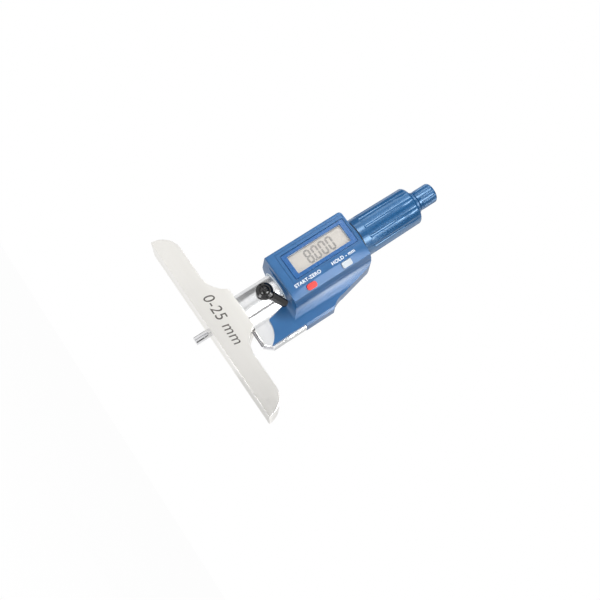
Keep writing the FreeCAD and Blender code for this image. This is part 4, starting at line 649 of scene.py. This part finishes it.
# Print inks, and the trims whose tones are painted glint, painted reflection and painted
# highlight
def ink_and_painted_light(name):
    return trim_and_painted_light(name, *INKS_AND_PAINTED_LIGHT[name])


def wear(piece, material):
    piece.data.materials.clear()
    piece.data.materials.append(material)


# Pieces that stand for the part's own


def dress_nodes(finishes):
    slots = {row["node"]: row["material_slot"] for row in frame["record"]["subparts"]}
    for node, shown in frame["nodes"].items():
        wear(shown, finishes[slots[node]])
    return slots


def corner_cutter(left, slope):
    """What stands outside the round corner at the top left of the housing."""
    middle = moved(left + CORNER_ROUND, 0.0, HOUSING_TOP - CORNER_ROUND) @ turned(slope, "Z")
    half = CORNER_ROUND / 2 + CORNER_WASTE
    waste = block((half * 2, CORNER_DEPTH, half * 2), middle @ moved(-half, 0.0, half))
    bpy.ops.object.select_all(action="DESELECT")
    bpy.ops.mesh.primitive_cylinder_add(
        vertices=CORNER_SIDES, radius=CORNER_ROUND * MM,
        depth=(CORNER_DEPTH + CUT_OVERRUN) * MM)
    core = settle(bpy.context.active_object, middle @ turned(90, "X"))
    cut_away(waste, core)
    return waste


def round_corner(piece):
    for node, wall in CORNER_WALLS.items():
        if piece.name.startswith(node):
            cut_away(piece, corner_cutter(*wall))


def shape_front(piece):
    for left, right, low, top, breadth, depth in FACE_LINES:
        cutter = face_ring(left, right, low, top, breadth, depth + LINE_PROUD,
                           FACE_Y - LINE_PROUD)
        cut_away(piece, cutter)
    round_corner(piece)


def groove_neck(piece):
    groove = ring_round(NECK_RADIUS + FOOT_GROOVE_OUT, FOOT_GROOVE, moved(0, 0, NECK_FOOT_Z))
    cut_away(piece, groove)


def shape_lever(piece):
    """A sloping rim on the boss, and a slope along both edges of the arm."""
    flat = Matrix.Diagonal((1.0, SLOPE_DROP / SLOPE_REACH, 1.0, 1.0))
    rim = moved(0.0, BOSS_Y, LOCK_Z) @ flat @ turned(90, "X")
    cut_away(piece, ring_round(SLOPE_RADIUS, SLOPE_REACH, rim, RIM_SIDES))
    arm = moved(0.0, 0.0, LOCK_Z) @ turned(-ARM_ANGLE, "Y")
    for side in (-1, 1):
        edge = moved(ARM_CUTTER_X, ARM_Y, side * (ARM_HALF_WIDTH - ARM_SLOPE_WIDTH))
        tilt = turned(-side * ARM_SLOPE, "X") @ moved(0.0, -ARM_CUTTER[1] / 2, 0.0)
        cut_away(piece, block(ARM_CUTTER, arm @ edge @ tilt))


def dome_screw(piece):
    bpy.ops.object.select_all(action="DESELECT")
    bpy.ops.mesh.primitive_uv_sphere_add(
        segments=BALL_SIDES, ring_count=BALL_SIDES // 2, radius=SCREW_DOME * MM)
    ball = settle(bpy.context.active_object, moved(0.0, SCREW_Y + SCREW_DOME, LOCK_Z))
    cut_away(piece, ball, "INTERSECT")


SHAPED = {
    "front_cover": shape_front,
    "rear_cover": round_corner,
    "frame_body": groove_neck,
    "lock_lever": shape_lever,
    "lock_screw": dome_screw,
}


def soften_nodes(finishes, slots):
    for node, width, rounds in SOFT_EDGES:
        piece = merged_copy(node)
        if node in SHAPED:
            SHAPED[node](piece)
        soften(piece, width, rounds)
        wear(piece, finishes[slots[node]])
        stand_for(piece, node)


def add_display_glint_edge(finish):
    left, right, low, top, breadth, depth = DISPLAY_GLINT_EDGE
    # A frame for the glass edge, its pale tone a painted glint
    ring = face_ring(left, right, low, top, breadth, depth, DISPLAY_GLINT_EDGE_Y)
    named(ring, "display_edge")
    wear(ring, finish)
    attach(ring, body_of_node("bezel"))


def band_round(name, radius, half, low, top, finish, node):
    """A thin band round the rod's line, riding with that node's body."""
    middle = (low + top) / 2
    tall = (top - low) / 2
    flat = Matrix.Diagonal((1.0, 1.0, tall / half, 1.0))
    ring = ring_round(radius, half, moved(0.0, 0.0, middle) @ flat)
    take(ring)
    bpy.ops.object.shade_smooth()
    named(ring, name)
    wear(ring, finish)
    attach(ring, body_of_node(node))


def rod_between(radius, x, y, tall, sides):
    """An upright round rod, halfway up the neck."""
    bpy.ops.object.select_all(action="DESELECT")
    bpy.ops.mesh.primitive_cylinder_add(vertices=sides, radius=radius * MM, depth=tall * MM)
    return settle(bpy.context.active_object, moved(x, y, (FILL_LOW + FILL_TOP) / 2))


def fill_corner(side, steel_finish, crease_reflection_finish):
    """A round corner from the neck to the plate, with a fine grey line of painted dark
    reflection along it.
    """
    left, front = FILL_LEFT
    middle_x, middle_y = FILL_MIDDLE
    tall = FILL_TOP - FILL_LOW
    size = (middle_x - left, front - FILL_INNER, tall)
    place = ((left + middle_x) / 2, side * (front + FILL_INNER) / 2, FILL_LOW + tall / 2)
    fill = block(size, moved(*place))
    hollow = rod_between(CORNER_FILL, middle_x, side * middle_y, tall + CUT_OVERRUN, FILL_SIDES)
    cut_away(fill, hollow)
    x, y, radius = CREASE_PAINTED_REFLECTION_LINE
    # The grey rod in the crease paints the dark reflection that the corner shows
    line = rod_between(radius, x, side * y, tall, LINE_SIDES)
    way = "front" if side < 0 else "back"
    for piece, name, finish in ((fill, "neck_corner_", steel_finish),
                                (line, "neck_line_", crease_reflection_finish)):
        take(piece)
        bpy.ops.object.shade_smooth_by_angle(angle=math.radians(SMOOTH_ANGLE))
        named(piece, name + way)
        wear(piece, finish)
        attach(piece, body_of_node("frame_body"))


def fill_corners(steel_finish):
    # Painted dark reflection for the line in the crease
    crease_reflection_finish = ink_and_painted_light("crease_grey_steel")
    for side in (-1, 1):
        fill_corner(side, steel_finish, crease_reflection_finish)


def paint_plate_edge_light(name, start, end, level):
    """A thin strip on the chamfer of the plate's front edge, whose tone paints the shade and
    reflection that the chamfer shows.
    """
    low = Vector((start[0], 0.0, start[1]))
    along = Vector((end[0], 0.0, end[1])) - low
    length = along.length
    along.normalize()
    outward = along.cross(Vector((0, 1, 0)))
    facing = (outward + Vector((0, -1, 0))).normalized()
    middle = low + along * length / 2 - outward * EDGE_CHAMFER / 2
    middle.y = EDGE_CHAMFER / 2 - PLATE_HALF
    axes = Matrix((along, -facing, along.cross(-facing))).transposed().to_4x4()
    width = EDGE_CHAMFER * math.sqrt(2) - EDGE_MARGIN
    strip = block((length, EDGE_PROUD * 2, width), moved(*middle) @ axes)
    named(strip, name)
    dark = [level + step for step in EDGE_DARKER]
    light = [level + step for step in EDGE_LIGHTER]
    wear(strip, trim_and_painted_light(name + "_steel", dark, light, EDGE_ROUGHNESS))
    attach(strip, body_of_node("frame_body"))


def add_thimble_foot(finishes):
    band_round("housing_lip", LIP_RADIUS, LIP_HALF, HOUSING_TOP - LIP_HALF, LIP_TOP,
               finishes["housing_blue"], "front_cover")
    # A black band on the thimble is painted shade in the gap above the lip
    band_round("thimble_dark_line", THIMBLE_RADIUS - GAP_SHADE_SUNK, GAP_SHADE_HALF,
               GAP_SHADE_Z - GAP_SHADE_HALF, GAP_SHADE_Z + GAP_SHADE_HALF,
               finishes["seal_rubber"], "thimble_grip")


def add_neck_rim_highlight(finish):
    # The rim's near-white tone paints the highlight on the collar's edge
    band_round("neck_rim", RIM_RADIUS, RIM_HALF, RIM_Z - RIM_HALF, RIM_Z + RIM_HALF,
               finish, "front_cover")


# Lettering and the reading


def lettering(name, words, size, placing, shear=0.0, offset=0.0, spacing=1.0):
    bpy.ops.object.select_all(action="DESELECT")
    bpy.ops.object.text_add()
    piece = bpy.context.active_object
    piece.data.body = words
    piece.data.size = size * MM
    piece.data.shear = shear
    piece.data.offset = offset * MM
    piece.data.space_character = spacing
    piece.data.extrude = INK_HEIGHT / 2 * MM
    take(piece)
    bpy.ops.object.convert(target="MESH")
    piece = bpy.context.active_object
    settle(piece, placing)
    return named(piece, name)


def letter_face(white):
    for name, words, x, z, size, spacing in LEGENDS:
        placing = on_face(x + size * LEGEND_FOOT_SHARE, FACE_Y - INK_HEIGHT / 2, z)
        piece = lettering(name, words, size, placing, offset=LEGEND_WEIGHT,
                          spacing=spacing)
        wear(piece, white)
        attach(piece, body_of_node("front_cover"))


def letter_beam(dark):
    placing = on_beam(RANGE_MARK_X, BEAM_Y - INK_HEIGHT / 2, RANGE_MARK_Z)
    piece = lettering("range_mark", RANGE_MARK, RANGE_MARK_SIZE, placing,
                      shear=RANGE_MARK_SLANT, spacing=RANGE_MARK_SPACING)
    wear(piece, dark)
    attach(piece, body_of_node("base"))


def segment_places():
    half = DIGIT_HEIGHT / 2
    width = DIGIT_WIDTH
    return {
        "a": (width / 2, DIGIT_HEIGHT, True),
        "g": (width / 2, half, True),
        "d": (width / 2, 0.0, True),
        "f": (0.0, half * 1.5, False),
        "b": (width, half * 1.5, False),
        "e": (0.0, half * 0.5, False),
        "c": (width, half * 0.5, False),
    }


def bar(x, y, length, breadth, pointed):
    bpy.ops.object.select_all(action="DESELECT")
    bpy.ops.mesh.primitive_plane_add(size=MM)
    piece = bpy.context.active_object
    bpy.ops.object.mode_set(mode="EDIT")
    bpy.ops.mesh.select_all(action="SELECT")
    bpy.ops.transform.resize(value=(length, breadth, 1.0))
    if pointed:
        tip = breadth / 2 * MM * TIP_SHARE
        bpy.ops.mesh.bevel(offset=tip, segments=1, affect="VERTICES")
    bpy.ops.transform.translate(value=(x * MM, y * MM, 0.0))
    bpy.ops.object.mode_set(mode="OBJECT")
    return piece


def digit(figure, left):
    places = segment_places()
    parts = []
    for letter in DIGIT_SEGMENTS[figure]:
        x, y, flat = places[letter]
        length = (DIGIT_WIDTH if flat else DIGIT_HEIGHT / 2) - DIGIT_GAP
        if flat:
            parts.append(bar(left + x, y, length, DIGIT_STROKE, True))
        else:
            piece = bar(0.0, 0.0, length, DIGIT_STROKE, True)
            parts.append(settle(piece, moved(left + x, y, 0.0) @ turned(90, "Z")))
    return parts


def show_reading(dark):
    parts = []
    left = 0.0
    for figure in READING:
        if figure == ".":
            gap = (DIGIT_PITCH - DIGIT_WIDTH) / 2
            parts.append(bar(left - gap, 0.0, POINT_SIZE, POINT_SIZE, False))
        else:
            parts.extend(digit(figure, left))
            left += DIGIT_PITCH
    take(*parts)
    bpy.ops.object.join()
    piece = named(bpy.context.active_object, "reading")
    bpy.ops.object.transform_apply(location=True, rotation=True, scale=True)
    piece.data.transform(Matrix.Shear("XY", 4, (DIGIT_SLANT, 0.0)))
    settle(piece, on_face(READING_X, PANEL_Y - INK_ON_GLASS, READING_Z))
    wear(piece, dark)
    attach(piece, body_of_node("lcd_panel"))


# Studio


def greater(tree, first, second):
    """The larger one of two node outputs."""
    node = tree.nodes.new("ShaderNodeMath")
    node.operation = "MAXIMUM"
    tree.links.new(first, node.inputs[0])
    tree.links.new(second, node.inputs[1])
    return node.outputs["Value"]


def mix_on_surface(tree, share, first, second, end):
    mix = tree.nodes.new("ShaderNodeMixShader")
    tree.links.new(share, mix.inputs["Fac"])
    tree.links.new(first, mix.inputs[1])
    tree.links.new(second, mix.inputs[2])
    tree.links.new(mix.outputs["Shader"], tree.nodes[end].inputs["Surface"])


def white_room(strength):
    """A room that is seen white and lights with its own strength."""
    world = bpy.data.worlds.new("studio")
    bpy.context.scene.world = world
    world.use_nodes = True
    tree = world.node_tree
    plain = tree.nodes["Background"]
    seen = tree.nodes.new("ShaderNodeBackground")
    for background, level in ((plain, strength), (seen, 1.0)):
        background.inputs["Color"].default_value = WHITE
        background.inputs["Strength"].default_value = level
    rays = tree.nodes.new("ShaderNodeLightPath").outputs
    shown = greater(tree, rays["Is Camera Ray"], rays["Is Glossy Ray"])
    shown = greater(tree, shown, rays["Is Transmission Ray"])
    mix_on_surface(tree, shown, plain.outputs["Background"], seen.outputs["Background"],
                   "World Output")


def pale_floor(height):
    """A wide pale floor that keeps the shadow and fades into the white room."""
    bpy.ops.object.select_all(action="DESELECT")
    bpy.ops.mesh.primitive_plane_add(size=FLOOR_WIDTH * MM, location=(0.0, 0.0, height * MM))
    floor = named(bpy.context.active_object, "floor")
    low, high = FLOOR_ROUGH
    material, shader = plain_finish("floor_paper", tone(*FLOOR_TONE), 0.0, (low + high) / 2)
    vary_roughness(material, shader, low, high, FLOOR_GRAIN)
    tree = material.node_tree
    rays = tree.nodes.new("ShaderNodeLightPath").outputs
    shown = greater(tree, rays["Is Camera Ray"], rays["Is Glossy Ray"])
    share = tree.nodes.new("ShaderNodeMath")
    share.operation = "MULTIPLY"
    share.inputs[1].default_value = FLOOR_FADE
    tree.links.new(shown, share.inputs[0])
    seen = tree.nodes.new("ShaderNodeEmission")
    seen.inputs["Color"].default_value = WHITE
    seen.inputs["Strength"].default_value = 1.0
    mix_on_surface(tree, share.outputs["Value"], shader.outputs["BSDF"],
                   seen.outputs["Emission"], "Material Output")
    wear(floor, material)


def aim(thing, place, target):
    place = Vector(place) * MM
    toward = Vector(target) * MM - place
    thing.location = place
    thing.rotation_euler = toward.to_track_quat("-Z", "Y").to_euler()


def soft_light(name, place, size, power):
    """A lamp that shiny surfaces don't see."""
    bpy.ops.object.select_all(action="DESELECT")
    bpy.ops.object.light_add(type="AREA")
    lamp = bpy.context.active_object
    lamp.name = name
    lamp.data.shape = "RECTANGLE"
    lamp.data.size = size[0] * MM
    lamp.data.size_y = size[1] * MM
    lamp.data.energy = power
    lamp.visible_glossy = False
    aim(lamp, place, LAMP_TARGET)


def card_paper(name, level):
    material, shader = plain_finish(name + "_paper", BLACK, 0.0, 1.0)
    shader.inputs["Specular IOR Level"].default_value = 0.0
    shader.inputs["Emission Color"].default_value = WHITE
    shader.inputs["Emission Strength"].default_value = level
    return material


def hang_card(name, place, turn, size, level):
    """A card that only shiny surfaces see."""
    bpy.ops.object.select_all(action="DESELECT")
    bpy.ops.mesh.primitive_plane_add(size=MM)
    card = named(bpy.context.active_object, name)
    card.scale = (size[0], size[1], 1.0)
    card.location = Vector(place) * MM
    card.rotation_euler = turn
    wear(card, card_paper(name, level))
    card.visible_camera = False
    card.visible_diffuse = False
    card.visible_shadow = False
    card.visible_transmission = False


def studio_card(name, azimuth, half_angle, low, high, level):
    """A card that stands round the rod's line."""
    turn = math.radians(azimuth)
    breadth = 2 * CARD_DISTANCE * math.tan(math.radians(half_angle))
    place = (math.sin(turn) * CARD_DISTANCE, -math.cos(turn) * CARD_DISTANCE, (low + high) / 2)
    hang_card(name, place, (math.radians(90), 0.0, turn), (breadth, high - low), level)


def photo_camera():
    turn = math.radians(CAMERA_TURN)
    drop = math.radians(CAMERA_DROP)
    roll = math.radians(CAMERA_ROLL)
    toward = Vector((math.sin(turn) * math.cos(drop),
                     -math.cos(turn) * math.cos(drop),
                     -math.sin(drop)))
    side = (-toward).cross(Vector((0, 0, 1))).normalized()
    rise = side.cross(-toward)
    right = math.cos(roll) * side + math.sin(roll) * rise
    above = math.cos(roll) * rise - math.sin(roll) * side
    place = Vector(CAMERA_TARGET) * MM + toward * CAMERA_DISTANCE * MM
    bpy.ops.object.select_all(action="DESELECT")
    bpy.ops.object.camera_add()
    camera = bpy.context.active_object
    axes = Matrix((right, above, toward)).transposed().to_4x4()
    camera.matrix_world = Matrix.Translation(place) @ axes
    camera.data.sensor_width = SENSOR_WIDTH
    camera.data.lens = SENSOR_WIDTH * LENS_PIXELS / PICTURE_WIDTH
    camera.data.clip_start = CLIP_START * MM
    bpy.context.scene.camera = camera


def light_the_studio():
    white_room(ROOM_LIGHT)
    pale_floor(FLOOR_Z)
    for row in LAMPS:
        soft_light(*row)
    for row in STUDIO_CARDS:
        studio_card(*row)
    for name, place, size, level in FLAT_CARDS:
        hang_card(name, place, (0.0, 0.0, 0.0), size, level)


# The whole scene

bpy.context.scene.view_settings.view_transform = "Standard"
photo_camera()
light_the_studio()
finishes = make_finishes()
slots = dress_nodes(finishes)
soften_nodes(finishes, slots)
add_display_glint_edge(ink_and_painted_light("display_edge_plastic"))
add_thimble_foot(finishes)
fill_corners(finishes["frame_steel"])
# Strips of painted shade and painted reflection on the plate's lower chamfers
for row in PAINTED_PLATE_EDGES:
    paint_plate_edge_light(*row)
add_neck_rim_highlight(ink_and_painted_light("neck_rim_plastic"))
letter_face(ink_and_painted_light("legend_white_ink"))
letter_beam(ink_and_painted_light("mark_dark_ink"))
show_reading(ink_and_painted_light("reading_grey_film"))
